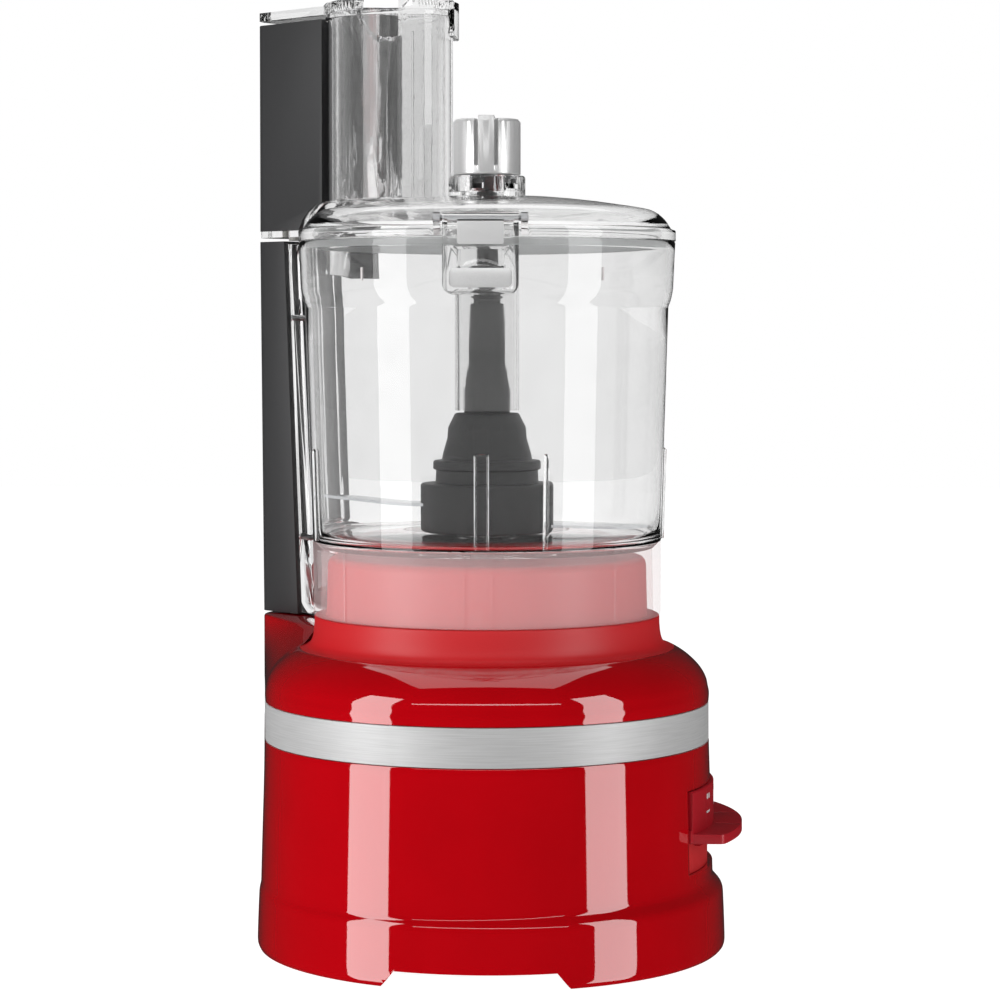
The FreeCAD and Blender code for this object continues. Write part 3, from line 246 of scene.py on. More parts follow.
# %% Charcoal, black and hidden finishes
charcoal_plastic = grained("charcoal_polypropylene", ("#2C2C2D", "#323233"), 0.4, 0.1, 0.04,
                           Roughness=0.46, IOR=1.5)
hub_charcoal = grained("charcoal_nylon", ("#232324", "#2A2A2B"), 0.5, 0.14, 0.05, Roughness=0.48, IOR=1.5)
black_plastic = grained("black_abs", ("#161617", "#1D1D1E"), 0.5, 0.1, 0.04, Roughness=0.4, IOR=1.5)
rubber_black = grained("black_rubber", ("#1A1A1A", "#222222"), 0.6, 0.2, 0.05, Roughness=0.7, IOR=1.5)
white_plastic = grained("natural_acetal", ("#E4E2DC", "#EBE9E3"), 0.6, 0.05, 0.03, Roughness=0.4, IOR=1.48)
steel = grained("turned_steel", ("#B9BABC", "#C8C9CB"), 0.3, 0.1, 0.02, stretch=(0.2, 0.2, 1.0),
                Metallic=1.0, Roughness=0.28)
blade_steel = grained("ground_stainless_steel", ("#C9CBCE", "#D8DADC"), 0.25, 0.12, 0.02,
                      stretch=(0.1, 1.0, 1.0), Metallic=1.0, Roughness=0.22)
motor_iron = grained("stacked_iron", ("#4A4A4E", "#5C5C60"), 0.5, 0.3, 0.1, stretch=(0.05, 0.05, 1.0),
                     Metallic=0.8, Roughness=0.5)
copper = grained("enamelled_copper_wire", ("#B5622D", "#CF7A3C"), 0.8, 0.5, 0.3, stretch=(0.1, 0.1, 1.0),
                 Metallic=1.0, Roughness=0.35)
cast_aluminium = grained("die_cast_aluminium", ("#A5A6A8", "#B8B9BB"), 1.2, 0.25, 0.06, Metallic=1.0,
                         Roughness=0.5)
circuit_board = grained("green_circuit_board", ("#12512B", "#1A6A38"), 2.0, 0.1, 0.05, Roughness=0.4,
                        IOR=1.5)
mark_grey = grained("pad_printed_grey", ("#B9B4B4", "#C8C3C3"), 0.3, 0.05, 0.02, Roughness=0.5, IOR=1.5)

finish_of = {
    "gloss_red": gloss_red, "satin_red": satin_red, "paddle_red": paddle_red,
    "brushed_aluminium": brushed_aluminium, "satin_silver": satin_silver, "clear_plastic": clear_plastic,
    "frosted_plastic": frosted_plastic, "gasket_clear": gasket_clear, "charcoal_plastic": charcoal_plastic,
    "hub_charcoal": hub_charcoal, "black_plastic": black_plastic, "rubber_black": rubber_black,
    "white_plastic": white_plastic, "steel": steel, "blade_steel": blade_steel, "motor_iron": motor_iron,
    "copper": copper, "cast_aluminium": cast_aluminium, "circuit_board": circuit_board, "mark_grey": mark_grey,
}
print("materials:", len(finish_of))

# %% [markdown]
# Every CAD node takes the finish of its material slot.

# %% Dress the frame's nodes
slot_of = {part["node"]: part["material_slot"] for part in frame["record"]["subparts"]}
body_of = {node: body for body, members in frame["record"]["behaviour"]["bodies"].items() for node in members}
for node, obj in frame["nodes"].items():
    obj.data.materials.clear()
    obj.data.materials.append(finish_of[slot_of[node]])
print("dressed", len(slot_of), "nodes")


def finish_piece(obj, name, nodes, degrees=32.0):
    """Name, smooth, dress and attach a finished piece that stands for these CAD nodes."""
    place_applied(obj, name)
    smooth(obj, degrees)
    obj.data.materials.clear()
    obj.data.materials.append(finish_of[slot_of[nodes[0]]])
    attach(obj, body_of[nodes[0]])
    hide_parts(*nodes)
    print(name, len(obj.data.vertices), "vertices for", nodes)
    return obj


# %% [markdown]
# ## Shapes built ring by ring
# Every big moulding of this machine is a stack of outlines: a circle for the bowl and the seat, a drop
# for the base. A circle is extruded once per row in edit mode, and each ring is then set to its outline.
# Fewer, well-placed rows give a smoother surface than a carved block, and the walls stay closed.

# %% Ring-stack tools
HANDLE_DEGREES = 136.5
HANDLE = math.radians(HANDLE_DEGREES)
PADDLE = 0.0
LATCH = math.radians(-90.0)
POST_CENTRE = 126.8


def bearings_of(spans):
    """Sorted directions in degrees from (start, end, step) spans."""
    found = set()
    for start, end, step in spans:
        count = int(round((end - start) / step))
        found.update(round((start + (end - start) * i / count) % 360.0, 4) for i in range(count))
    return [math.radians(v) for v in sorted(found)]


ROUND = bearings_of([(0.0, 360.0, 1.5)])
TIGHT = 8.5
EASY = 50.0
DROP = bearings_of([(HANDLE_DEGREES - TIGHT, HANDLE_DEGREES + TIGHT, 0.25),
                    (HANDLE_DEGREES + TIGHT, HANDLE_DEGREES + EASY, 0.75),
                    (HANDLE_DEGREES - EASY, HANDLE_DEGREES - TIGHT, 0.75),
                    (HANDLE_DEGREES + EASY, HANDLE_DEGREES + 360.0 - EASY, 1.3)])


def drop(big, small):
    """Radius by direction of a drop: a big circle on the axis, a small one at the handle, and tangents."""
    lean = math.acos((big - small) / POST_CENTRE)
    nose = math.atan2(small * math.sin(lean), POST_CENTRE + small * math.cos(lean))

    def radius(direction):
        off = abs((direction - HANDLE + math.pi) % (2 * math.pi) - math.pi)
        if off >= lean:
            return big
        if off >= nose:
            return big / math.cos(off - lean)
        return POST_CENTRE * math.cos(off) + math.sqrt(small ** 2 - (POST_CENTRE * math.sin(off)) ** 2)
    return radius


def off_centre(radius, shift):
    """Radius by direction of a circle moved along +X."""
    return lambda d: shift * math.cos(d) + math.sqrt(radius ** 2 - (shift * math.sin(d)) ** 2)


def larger(first, second, soft=0.8):
    """The outer one of two outlines, blended where they cross."""
    def radius(direction):
        a = first(direction)
        b = second(direction)
        gap = max(soft - abs(a - b), 0.0) / soft
        return max(a, b) + gap * gap * soft * 0.25
    return radius


def at_height(points, z):
    """Smooth value at z through (z, value) points."""
    last = len(points) - 1
    i = 0
    while i < last - 1 and z > points[i + 1][0]:
        i += 1
    z0, v0 = points[i]
    z1, v1 = points[i + 1]
    t = min(max((z - z0) / (z1 - z0), 0.0), 1.0)
    slope = (v1 - v0) / (z1 - z0)
    before = slope if i == 0 else (v1 - points[i - 1][1]) / (z1 - points[i - 1][0])
    after = slope if i + 1 == last else (points[i + 2][1] - v0) / (points[i + 2][0] - z0)
    span = z1 - z0
    return ((2 * t ** 3 - 3 * t ** 2 + 1) * v0 + (t ** 3 - 2 * t ** 2 + t) * span * before
            + (3 * t ** 2 - 2 * t ** 3) * v1 + (t ** 3 - t ** 2) * span * after)


def ring_stack(rows, bearings=ROUND, capped=False, centre=(0.0, 0.0)):
    """A closed mesh through rows of (radius or outline, height) in millimetres round an upright line."""
    count = len(bearings)
    middle = axis + Vector(centre).to_3d() * MM
    bpy.ops.mesh.primitive_circle_add(vertices=count, radius=1.0, location=(0, 0, 0))
    obj = bpy.context.view_layer.objects.active
    bpy.ops.object.mode_set(mode="EDIT")
    bpy.ops.mesh.select_all(action="SELECT")
    for _ in rows[1:]:
        bpy.ops.mesh.extrude_region_move(TRANSFORM_OT_translate={"value": (0.0, 0.0, 1.0)})
    bpy.ops.object.mode_set(mode="OBJECT")
    first = math.atan2(obj.data.vertices[0].co.y, obj.data.vertices[0].co.x)
    for vertex in obj.data.vertices:
        step = math.atan2(vertex.co.y, vertex.co.x) - first
        direction = bearings[int(round(step / (2 * math.pi) * count)) % count]
        row = int(round(vertex.co.z))
        outline, height = rows[row]
        radius = outline(direction) if callable(outline) else outline
        vertex.co = (middle.x + radius * MM * math.cos(direction),
                     middle.y + radius * MM * math.sin(direction), height * MM)
        vertex.select = row in (0, len(rows) - 1)
    for edge in obj.data.edges:
        edge.select = all(obj.data.vertices[i].select for i in edge.vertices)
    bpy.ops.object.mode_set(mode="EDIT")
    if capped:
        bpy.ops.mesh.edge_face_add()
        bpy.ops.mesh.select_all(action="DESELECT")
        bpy.ops.mesh.select_non_manifold(extend=False)
        bpy.ops.mesh.fill_holes(sides=0)
    else:
        bpy.ops.mesh.bridge_edge_loops()
    bpy.ops.mesh.select_all(action="SELECT")
    bpy.ops.mesh.normals_make_consistent(inside=False)
    bpy.ops.object.mode_set(mode="OBJECT")
    return obj


def prism(points, way):
    """A block: a flat outline in millimetres, measured from the drive axis, pulled along a direction."""
    bpy.ops.mesh.primitive_circle_add(vertices=len(points), radius=1.0, fill_type="NGON", location=(0, 0, 0))
    obj = bpy.context.view_layer.objects.active
    first = math.atan2(obj.data.vertices[0].co.y, obj.data.vertices[0].co.x)
    for vertex in obj.data.vertices:
        step = math.atan2(vertex.co.y, vertex.co.x) - first
        x, y, z = points[int(round(step / (2 * math.pi) * len(points))) % len(points)]
        vertex.co = (axis.x + x * MM, axis.y + y * MM, z * MM)
    bpy.ops.object.mode_set(mode="EDIT")
    bpy.ops.mesh.select_all(action="SELECT")
    bpy.ops.mesh.extrude_region_move(TRANSFORM_OT_translate={"value": tuple(v * MM for v in way)})
    bpy.ops.mesh.select_all(action="SELECT")
    bpy.ops.mesh.normals_make_consistent(inside=False)
    bpy.ops.object.mode_set(mode="OBJECT")
    return obj


def cut(obj, cutter):
    """Take a cutter out of a piece and remove the cutter."""
    modifier(obj, "BOOLEAN", object=cutter, operation="DIFFERENCE", solver="EXACT")
    bpy.data.objects.remove(cutter, do_unlink=True)


def fuse(obj, other):
    modifier(obj, "BOOLEAN", object=other, operation="UNION", solver="EXACT")
    bpy.data.objects.remove(other, do_unlink=True)


def polar(radius, direction, height):
    return (radius * math.cos(direction), radius * math.sin(direction), height)


def along_and_across(direction):
    """Unit vectors along a level direction and square to it."""
    along = Vector((math.cos(direction), math.sin(direction), 0.0))
    return along, Vector((-along.y, along.x, 0.0))


def round_hole(centre, radius, low_z, tall):
    """An upright round bar for cutting a screw or rod hole."""
    turns = [math.tau * i / 48 for i in range(48)]
    outline = [(centre.x + radius * math.cos(t), centre.y + radius * math.sin(t), low_z) for t in turns]
    return prism(outline, (0.0, 0.0, tall))


def sector_block(inner, outer, middle, half_degrees, low_z, high_z):
    """A block between two radii, half_degrees either side of a direction."""
    steps = 24
    turns = [middle + math.radians(half_degrees) * (2.0 * i / steps - 1.0) for i in range(steps + 1)]
    outline = [polar(inner, t, low_z) for t in turns] + [polar(outer, t, low_z) for t in reversed(turns)]
    return prism(outline, (0.0, 0.0, high_z - low_z))


def side_block(inner, outer, direction, half, low_z, high_z):
    """A straight block from one radius to another along a direction, half wide either side."""
    u, v = along_and_across(direction)
    outline = [u * inner - v * half, u * outer - v * half, u * outer + v * half, u * inner + v * half]
    return prism([(p.x, p.y, low_z) for p in outline], (0.0, 0.0, high_z - low_z))


def rod(radius, inner, outer, direction, height):
    """A round bar along a direction."""
    u, v = along_and_across(direction)
    outline = []
    for i in range(48):
        a = math.tau * i / 48
        p = u * inner + v * (radius * math.cos(a))
        outline.append((p.x, p.y, height + radius * math.sin(a)))
    return prism(outline, tuple(u * (outer - inner)))


# %% [markdown]
# ## Lower housing
# The drum leans in by two millimetres towards the band and flares into a skirt that stands a little
# further out on the paddle side. The two finger notches, the paddle pocket and the hole of the lead
# bushing are cut afterwards, as inserts in the mould would do.

# %% Lower housing
FOOT = 1.4
DRUM_TOP = 99.7
WALL = 3.0
SKIRT_SHIFT = 2.0
SKIRT = [(FOOT, 110.3), (2.0, 110.95), (2.6, 111.4), (3.6, 111.7), (4.9, 111.8), (16.0, 111.45), (26.0, 111.0),
         (28.5, 110.8), (30.4, 110.1), (31.8, 109.0), (33.6, 107.4), (36.0, 105.4), (38.5, 103.8)]
DRUM = [(FOOT, 108.8), (43.0, 107.8), (DRUM_TOP, 106.0)]
NOSE = [(FOOT, 25.4), (43.0, 24.6), (DRUM_TOP, 24.0)]


def drum_outline(z, inset=0.0):
    return drop(at_height(DRUM, z) - inset, at_height(NOSE, z) - inset)


rows = []
for z in (FOOT, 1.7, 2.0, 2.6, 3.6, 4.9, 9.0, 14.0, 20.0, 25.0, 27.0, 28.5, 29.4, 30.2, 31.0, 31.8, 32.6, 33.6,
          34.8, 36.0, 37.4, 38.5):
    rows.append((larger(drum_outline(z), off_centre(at_height(SKIRT, z), SKIRT_SHIFT)), z))
for z in (40.0, 44.0, 52.0, 62.0, 74.0, 86.0, 96.0, 99.3):
    rows.append((drum_outline(z), z))
rows.append((drum_outline(99.6, 0.12), 99.6))
rows.append((drum_outline(DRUM_TOP, 0.4), DRUM_TOP))
for z in (DRUM_TOP, 60.0, 20.0, FOOT):
    rows.append((drum_outline(z, WALL), z))
lower = ring_stack(rows, DROP)
NOTCH = [(-46.5, -130.0, -1.0), (-38.5, -130.0, 9.0), (34.5, -130.0, 9.0), (42.5, -130.0, -1.0)]
NOTCH_DEEP = Vector((0.0, 45.0, 0.0))
for turned in (0.0, math.radians(150.0)):
    spin = Matrix.Rotation(turned, 3, "Z")
    cut(lower, prism([tuple(spin @ Vector(p)) for p in NOTCH], tuple(spin @ NOTCH_DEEP)))
cut(lower, sector_block(104.3, 125.0, PADDLE, 28.0, 42.0, 81.4))
cut(lower, side_block(85.0, 125.0, PADDLE, 6.5, 49.0, 71.6))
LEAD = math.radians(62.0)
LEAD_HEIGHT = 22.0
cut(lower, rod(8.0, 75.0, 135.0, LEAD, LEAD_HEIGHT))
cut(lower, rod(10.6, 108.8, 130.0, LEAD, LEAD_HEIGHT))
modifier(lower, "BEVEL", width=0.5 * MM, segments=2, limit_method="ANGLE", angle_limit=math.radians(50.0),
         use_clamp_overlap=True)
finish_piece(lower, "lower_housing_gloss", ["lower_housing"], 35.0)

# %% [markdown]
# ## Band
# A strip of sheet wrapped round the same drop, with its edges rolled in by a tenth of a millimetre.

# %% Metal band
band = ring_stack([(drop(105.55, 23.6), 99.95), (drop(105.85, 23.85), 100.1), (drop(105.9, 23.9), 100.5),
                   (drop(105.8, 23.9), 117.5), (drop(105.75, 23.85), 117.9), (drop(105.45, 23.6), 118.05),
                   (drop(104.7, 22.7), 118.05), (drop(104.7, 22.7), 99.95)], DROP)
finish_piece(band, "trim_band_sheet", ["trim_band"], 40.0)

# %% [markdown]
# ## Upper housing
# The shoulder rolls over from the band to a sharp line against the satin seat, while the small end of
# the drop stays upright and becomes the post that meets the handle. The seat's room and the inside are
# taken out of a solid stack, so the line between gloss and satin is exact.

# %% Upper housing
BIG = [(118.3, 105.7), (122.0, 105.9), (125.0, 105.3), (128.0, 104.2), (131.0, 102.3), (134.0, 99.6),
       (137.0, 96.2), (139.8, 92.6), (141.8, 89.6), (143.5, 86.4), (145.4, 82.0), (147.6, 76.0), (150.3, 67.4)]
RING = [(118.3, 105.7), (122.0, 105.9), (125.0, 105.4), (128.0, 104.9), (131.0, 103.6), (134.0, 101.6),
        (137.0, 98.8), (139.9, 95.4), (141.9, 92.4), (143.5, 89.5)]
rows = [(drop(104.65, 22.65), 99.75), (drop(104.65, 22.65), 118.32), (drop(105.3, 23.6), 118.34)]
POST = 24.0
SHOULDER_ROWS = 28
for row in range(SHOULDER_ROWS):
    z = 118.5 + 0.9 * row
    rows.append((larger(drop(at_height(BIG, z), POST), lambda d, r=at_height(RING, z): r, 0.5), z))
rows.append((larger(drop(86.45, POST), lambda d: 89.55, 0.5), 143.46))
for z in (144.4, 145.4, 146.4, 147.6, 148.6, 149.4):
    rows.append((drop(at_height(BIG, z), POST), z))
rows.append((drop(67.8, 23.7), 149.95))
rows.append((drop(67.4, 23.1), 150.3))
upper = ring_stack(rows, DROP, capped=True)
seat_room = ring_stack([(30.0, 135.0), (83.5, 135.0), (88.9, 142.3), (89.5, 143.5), (87.6, 144.5),
                        (86.0, 146.2), (85.0, 148.6), (84.4, 152.0), (84.4, 170.0), (30.0, 170.0)],
                       ROUND, capped=True)
cut(upper, seat_room)
cut(upper, ring_stack([(drop(101.0, 19.6), 98.0), (drop(101.0, 20.0), 124.0), (drop(96.0, 20.0), 131.0),
                       (drop(82.0, 20.0), 138.0), (drop(70.0, 20.0), 146.3)], DROP, capped=True))
ROD_OUT = 139.0
ROD_HOLE = 3.3
rod_at = Vector(polar(ROD_OUT, HANDLE, 0.0))
cut(upper, round_hole(rod_at, ROD_HOLE, 130.0, 40.0))
finish_piece(upper, "upper_housing_gloss", ["upper_housing"], 38.0)

# %% [markdown]
# ## Bowl seat
# A satin collar sweeps up in a hollow curve to the ledge the bowl stands on; the plug inside it fills the
# bowl's skirt, with a lobed boss round the spindle.

# %% Bowl seat
COLLAR = [(143.5, 89.35), (144.0, 87.2), (144.6, 85.9), (145.8, 84.5), (147.2, 83.7), (149.0, 83.1),
          (152.0, 82.6), (155.0, 82.35), (158.2, 82.3)]
rows = [(14.0, 148.0), (22.0, 148.0), (22.0, 184.0), (70.0, 184.0), (73.0, 182.0), (73.0, 154.0),
        (65.0, 145.0), (72.0, 139.0), (83.3, 136.6), (88.7, 142.5)]
for z in (143.5, 143.7, 144.0, 144.3, 144.6, 145.2, 145.8, 146.5, 147.2, 148.0, 149.0, 150.5, 152.0, 155.0,
          158.2):
    rows.append((at_height(COLLAR, z), z))
rows += [(82.1, 158.7), (81.6, 158.95), (81.0, 159.0), (77.1, 159.0), (76.5, 159.8), (75.9, 183.0),
         (75.4, 184.8), (74.3, 186.1), (72.6, 186.8), (71.0, 187.0), (14.0, 187.0)]
seat = ring_stack(rows)


def lobed(direction):
    """A round boss with eight lobes."""
    local = (direction + math.pi / 8) % (math.pi / 4) - math.pi / 8
    reach = 25.0 - (21.0 * math.sin(local)) ** 2
    lobe = 21.0 * math.cos(local) + math.sqrt(reach) if reach > 0 else 0.0
    return max(20.5, lobe)


boss = ring_stack([(14.0, 187.0), (lobed, 187.0), (lobed, 189.3), (lambda d: lobed(d) - 0.3, 189.6),
                   (14.0, 189.6)], bearings_of([(0.0, 360.0, 1.0)]))
only(seat)
boss.select_set(True)
bpy.ops.object.join()
finish_piece(seat, "bowl_seat_satin", ["bowl_seat"], 40.0)

# %% [markdown]
# ## Bowl and skirt
# The bowl is one clear moulding with a nearly upright wall, a step under the band and a thick rim. Its ribs
# are part of the same skin, so light crosses no hidden face inside the plastic: a rib is simply a
# range of directions in which the outer radius is larger.

# %% Bowl
def with_ribs(radius, ribs):
    """An outline with rounded ribs given as (direction, half width in degrees, height)."""
    def outline(direction):
        extra = 0.0
        for middle, half_width, height in ribs:
            off = abs((direction - middle + math.pi) % (2 * math.pi) - math.pi)
            if off < math.radians(half_width):
                extra = max(extra, height * math.sqrt(1.0 - (off / math.radians(half_width)) ** 2))
        return radius + extra
    return outline


def bearings_with(ribs, step):
    """Even directions with extra ones across every rounded rib."""
    found = set(math.degrees(b) for b in bearings_of([(0.0, 360.0, step)]))
    for middle, half_width, _ in ribs:
        for share in (-1.02, -0.995, -0.95, -0.85, -0.7, -0.45, 0.0, 0.45, 0.7, 0.85, 0.95, 0.995, 1.02):
            found.add(round((math.degrees(middle) + share * half_width) % 360.0, 4))
    spaced = []
    for value in sorted(found):
        if not spaced or value - spaced[-1] > 0.02:
            spaced.append(value)
    return [math.radians(v) for v in spaced]


tall = [(LATCH, 2.25, 1.7)] + [(LATCH + math.radians(t), 0.62, 1.3) for t in (-72.0, 20.0, 88.0)]
CATCH_HALF = 7.0
catch = [(LATCH, CATCH_HALF, 2.9)]
around = bearings_with(tall + catch, 1.5)
WALL_OUT = [(196.6, 83.0), (305.8, 86.3)]
rows = [(13.0, 236.0), (13.0, 191.2), (79.4, 191.2), (82.3, 194.2), (82.3, 194.4), (82.9, 194.5),
        (83.0, 195.2)]
rows += [(with_ribs(at_height(WALL_OUT, z), tall), z) for z in (195.4, 210.0, 225.0, 237.6)]
rows += [(with_ribs(at_height(WALL_OUT, 238.2), [(m, w, h * 0.5) for m, w, h in tall]), 238.2)]
rows += [(at_height(WALL_OUT, z), z) for z in (238.6, 255.0, 275.0, 295.0, 304.6)]
rows += [(86.35, 305.6), (86.7, 306.6), (87.25, 308.0), (87.7, 309.6), (88.2, 312.0), (88.5, 313.9),
         (88.62, 316.6)]
for radius, out, z in ((88.64, 3.75, 316.9), (88.74, 3.65, 319.3), (88.86, 0.3, 322.8)):
    rows.append((with_ribs(radius, [(LATCH, CATCH_HALF, out)]), z))
rows += [(88.9, 323.2), (89.3, 331.5), (89.5, 335.4), (89.35, 335.85), (89.0, 336.0), (87.3, 336.0),
         (86.95, 335.8), (86.9, 335.2)]
rows += [(86.3, 322.0), (85.95, 314.6), (85.6, 312.0), (84.9, 309.4), (84.4, 308.0), (83.95, 306.6),
         (83.7, 305.6), (83.1, 285.0), (82.4, 262.0), (81.6, 235.0), (80.9, 214.0), (80.45, 200.6),
         (80.1, 198.4), (79.3, 196.8), (78.0, 195.4), (76.4, 194.7), (74.6, 194.6), (17.5, 194.6),
         (15.6, 195.2), (15.0, 196.4), (15.0, 235.6), (14.6, 236.0)]
bowl = ring_stack(rows, around)
finish_piece(bowl, "bowl_clear", ["bowl"], 42.0)

# %% Frosted skirt
low_ribs = [(LATCH + math.radians(t), 0.62, 0.9) for t in (-50.0, 46.0)]
pair = [(LATCH + math.radians(-1.0 + t), 0.5, 1.0) for t in (-4.35, 4.35)]
low_ribs += pair
rows = [(79.4, 159.3), (82.3, 159.3), (82.7, 159.45), (82.9, 159.9)]
rows += [(with_ribs(82.9, low_ribs), 160.2), (with_ribs(83.0, low_ribs), 194.0), (83.0, 194.35),
         (82.5, 194.35), (79.5, 191.12), (78.8, 191.12)]
skirt = ring_stack(rows, bearings_with(low_ribs, 1.5))
stud = rod(3.2, 80.6, 85.0, LATCH - math.radians(1.0), 167.0)
fuse(skirt, stud)
finish_piece(skirt, "bowl_skirt_frosted", ["bowl_skirt"], 42.0)

# %% [markdown]
# ## Lid and feed tube
# The dome is a thin revolved shell with a hole for the centre sleeve. The saddle that carries the feed tube
# and the flat plate over the handle are joined to it, and the chute is cut down through saddle and dome.

# %% Lid
TUBE_AT = polar(68.2, HANDLE, 0.0)[:2]
TUBE_LONG = 34.0
TUBE_WIDE = 26.6


def oval(long_half, wide_half):
    """Radius by direction of an ellipse whose long side points to the handle."""
    return lambda d: (long_half * wide_half
                      / math.hypot(wide_half * math.cos(d - HANDLE), long_half * math.sin(d - HANDLE)))


def tube_oval(grow=0.0):
    return oval(TUBE_LONG + grow, TUBE_WIDE + grow)


SLEEVE_HOLE = 15.35
DOME = [(89.1, 341.5), (88.3, 341.75), (87.4, 342.3), (86.6, 343.6), (85.6, 345.2), (84.4, 346.7),
        (83.0, 348.0), (81.5, 349.3), (79.8, 350.3), (77.9, 351.1), (75.8, 351.6), (70.0, 352.6),
        (55.0, 354.8), (44.0, 356.1), (34.0, 357.0), (22.0, 357.3), (SLEEVE_HOLE, 357.3)]
UNDER = [(SLEEVE_HOLE, 354.8), (22.0, 354.8), (33.8, 354.5), (44.0, 353.5), (54.6, 352.2), (66.0, 350.5),
         (74.6, 349.0), (78.4, 347.4), (81.4, 345.0), (83.4, 342.9)]
lid = ring_stack([(83.4, 336.3), (89.2, 336.3), (89.6, 336.5), (89.7, 336.8), (89.7, 341.0), (89.5, 341.35)]
                 + DOME + UNDER)
saddle = ring_stack([(oval(49.5, 37.3), 341.6), (oval(48.0, 36.0), 349.0), (oval(45.6, 34.6), 352.2),
                     (oval(42.5, 32.5), 354.6), (oval(40.2, 31.2), 356.2), (oval(37.4, 29.6), 357.25)],
                    ROUND, capped=True, centre=TUBE_AT)
below = ring_stack([(UNDER[-1][0], 330.0)] + UNDER[::-1], ROUND, capped=True)
PLATE_IN = 84.0
PLATE_OUT = 154.4
PLATE_HALF = 13.0
CORNER = 7.0
PLATE_LOW = 341.0
quarter = [math.pi / 2 * i / 12 for i in range(13)]
straight = PLATE_OUT - CORNER
beside = PLATE_HALF - CORNER
edge = [(PLATE_IN, -PLATE_HALF)]
edge += [(straight + CORNER * math.sin(a), -beside - CORNER * math.cos(a)) for a in quarter]
edge += [(straight + CORNER * math.cos(a), beside + CORNER * math.sin(a)) for a in quarter]
edge += [(PLATE_IN, PLATE_HALF)]
u, v = along_and_across(HANDLE)
lift = Vector((0.0, 0.0, PLATE_LOW))
plate = prism([tuple(u * p + v * q + lift) for p, q in edge], (0.0, 0.0, 3.2))
cut(plate, round_hole(rod_at, ROD_HOLE, 335.0, 20.0))
cut(saddle, below)
fuse(lid, saddle)
fuse(lid, plate)
EAR = [(86.7, 336.9), (90.7, 336.9), (96.0, 342.2), (96.0, 345.6), (94.8, 346.8), (89.6, 346.8),
       (84.7, 341.3)]
EAR_THICK = 3.0
for x in (-21.1, 18.1):
    fuse(lid, prism([(x, -r, z) for r, z in EAR], (EAR_THICK, 0.0, 0.0)))
chute = tube_oval(0.05)
cut(lid, ring_stack([(chute, 344.9), (chute, 400.0)], ROUND, capped=True, centre=TUBE_AT))
finish_piece(lid, "lid_clear", ["lid"], 30.0)

# %% Feed tube
TUBE_LOW = 354.1
TUBE_TOP = 449.0
FLUTE_PITCH = 8.4
flutes = []
for i in range(-3, 4):
    along = i * FLUTE_PITCH
    across = -TUBE_WIDE * math.sqrt(1.0 - (along / TUBE_LONG) ** 2)
    flutes.append((HANDLE + math.atan2(across, along), 1.9, 0.9))


def fluted(direction):
    """The tube's outline with its upright flutes."""
    return tube_oval()(direction) + with_ribs(0.0, flutes)(direction)


rows = [(tube_oval(), TUBE_LOW), (tube_oval(), 357.5), (fluted, 357.8), (fluted, 442.7), (tube_oval(), 443.0),
        (tube_oval(), 446.4), (tube_oval(1.0), 446.5), (tube_oval(1.2), 446.8), (tube_oval(1.2), 448.7),
        (tube_oval(1.0), TUBE_TOP), (tube_oval(-2.0), TUBE_TOP), (tube_oval(-2.2), 448.8),
        (tube_oval(-2.2), TUBE_LOW)]
feed = ring_stack(rows, bearings_with(flutes, 1.5), centre=TUBE_AT)
finish_piece(feed, "feed_tube_clear", ["feed_tube"], 42.0)

# %% [markdown]
# ## Softened copies
# Small moulded parts keep their CAD shape, but a real mould leaves no razor edge. Each one is copied,
# its loose triangles are merged, its flat faces are joined, and a narrow bevel catches the light. Where
# the width is 0, as on the thin clear parts, only the triangles are merged.

# %% Softened copies of CAD nodes
def softened(node, width_mm):
    """A finished copy of a CAD node, with its edges rounded by width_mm."""
    source = frame["nodes"][node]
    only(source)
    source.hide_set(False)
    bpy.ops.object.duplicate()
    copy = bpy.context.view_layer.objects.active
    for key in list(copy.keys()):
        if key.startswith("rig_"):
            del copy[key]
    bpy.ops.object.mode_set(mode="EDIT")
    bpy.ops.mesh.select_all(action="SELECT")
    bpy.ops.mesh.remove_doubles(threshold=0.005 * MM)
    if width_mm > 0:
        bpy.ops.mesh.dissolve_limited(angle_limit=math.radians(0.6))
    bpy.ops.object.mode_set(mode="OBJECT")
    if width_mm > 0:
        modifier(copy, "BEVEL", width=width_mm * MM, segments=2, limit_method="ANGLE",
                 angle_limit=math.radians(38.0), use_clamp_overlap=True)
    return finish_piece(copy, node + "_moulded", [node])


for node, width in (("handle_cover", 0.8), ("column_cover", 0.8), ("speed_paddle", 0.5), ("blade_hub", 0.5),
                    ("latch_plates", 0.3), ("latch_frame", 0.35), ("bowl_handle", 0.6), ("blade_stem", 0.3),
                    ("adjust_knob", 0.35), ("knob_collar", 0.0), ("food_pusher", 0.0), ("small_pusher", 0.0),
                    ("lid_sleeve", 0.0), ("column_web", 0.0)):
    softened(node, width)

# %% [markdown]
# ## Floor and light
# A plain pale floor and a white surround, two tall soft boxes that draw the vertical strips on the gloss
# base, and a narrow one above the camera that joins them across the shoulder. A square one at the left
# and a large one overhead fill the shadows.

# %% Floor
bpy.ops.mesh.primitive_plane_add(size=8.0, location=(axis.x, axis.y, -0.0002))
floor = bpy.context.view_layer.objects.active
floor.name = "floor"
floor_paint = grained("pale_floor", ("#9A9A9A", "#9E9E9E"), 400.0, 0.0, 0.1, Roughness=0.7,
                      Specular_IOR_Level=0.1, Emission_Color=(1.0, 1.0, 1.0, 1.0), Emission_Strength=1.0)
floor.data.materials.append(floor_paint)
floor.visible_glossy = False

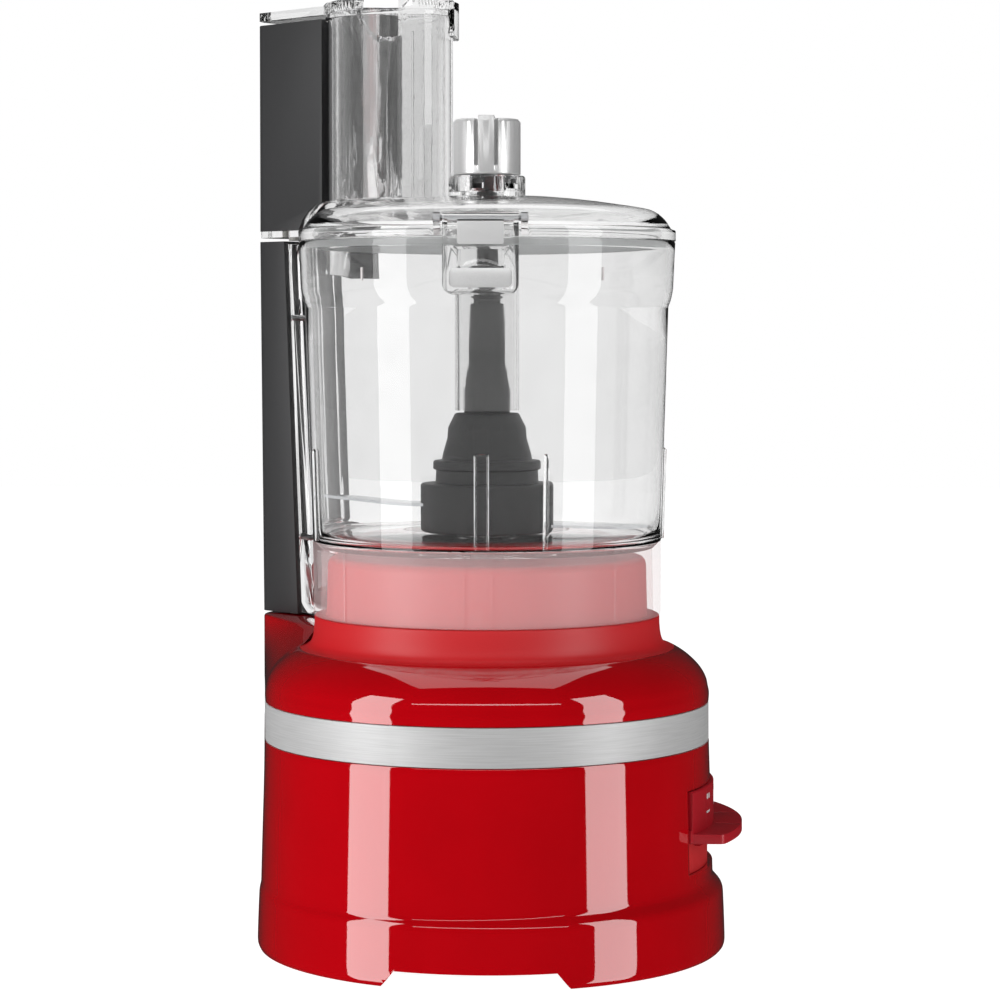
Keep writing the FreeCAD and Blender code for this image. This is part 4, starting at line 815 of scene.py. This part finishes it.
# %% Surround and lamps
world = bpy.data.worlds.new("studio")
bpy.context.scene.world = world
world.use_nodes = True
sky = world.node_tree
sky.nodes.clear()
path = add_node(sky, "ShaderNodeLightPath")
seen = add_node(sky, "ShaderNodeMath", operation="MAXIMUM",
                links={0: path.outputs["Is Camera Ray"], 1: path.outputs["Is Transmission Ray"]})
past_glass = add_node(sky, "ShaderNodeMath", {1: 0.5}, {0: path.outputs["Transmission Depth"]},
                      operation="GREATER_THAN")
inside = add_node(sky, "ShaderNodeMath", operation="MULTIPLY",
                  links={0: past_glass.outputs["Value"], 1: path.outputs["Is Glossy Ray"]})
bright = add_node(sky, "ShaderNodeMath", operation="MAXIMUM",
                  links={0: seen.outputs["Value"], 1: inside.outputs["Value"]})
white = add_node(sky, "ShaderNodeBackground", {"Color": (1.0, 1.0, 1.0, 1.0), "Strength": 1.0})
dim_level = add_node(sky, "ShaderNodeMapRange", {"To Min": 0.11, "To Max": 0.02},
                     {"Value": path.outputs["Is Glossy Ray"]})
dim = add_node(sky, "ShaderNodeBackground", {"Color": (1.0, 1.0, 1.0, 1.0)},
               {"Strength": dim_level.outputs["Result"]})
mix = add_node(sky, "ShaderNodeMixShader", links={0: bright.outputs["Value"], 1: dim.outputs["Background"],
                                                  2: white.outputs["Background"]})
add_node(sky, "ShaderNodeOutputWorld", links={"Surface": mix.outputs["Shader"]})


def soft_box(name, azimuth, distance, height, width, tall, watts, aim_height=0.15):
    """A rectangular area lamp at an azimuth from the camera's side, facing the machine."""
    lamp_data = bpy.data.lights.new(name, "AREA")
    lamp_data.shape = "RECTANGLE"
    lamp_data.size = width
    lamp_data.size_y = tall
    lamp_data.energy = watts
    lamp = bpy.data.objects.new(name, lamp_data)
    bpy.context.scene.collection.objects.link(lamp)
    a = math.radians(azimuth)
    spot = axis + (-away * math.cos(a) + side * math.sin(a)) * distance
    spot.z = height
    target = axis.copy()
    target.z = aim_height
    lamp.location = spot
    lamp.rotation_euler = (target - spot).to_track_quat("-Z", "Y").to_euler()
    lamp.visible_camera = False
    lamp.visible_transmission = False
    return lamp


soft_box("left_strip", -59.0, 1.25, 0.15, 0.5, 1.9, 14.0)
soft_box("right_strip", 60.0, 1.25, 0.15, 0.5, 1.9, 12.0)
key = soft_box("left_key", -62.0, 1.6, 0.5, 0.8, 0.8, 9.0)
key.visible_glossy = False
soft_box("front_bar", 0.0, 1.25, 0.78, 2.0, 0.12, 3.0, 0.1)
soft_box("top_light", 180.0, 0.3, 1.6, 1.4, 1.4, 7.0, 0.2)
bpy.context.scene.view_settings.view_transform = "Standard"
bpy.context.scene.cycles.max_bounces = 24
bpy.context.scene.cycles.transmission_bounces = 20
bpy.context.scene.cycles.glossy_bounces = 6
bpy.context.scene.cycles.transparent_max_bounces = 16
bpy.context.scene.cycles.sample_clamp_indirect = 4.0
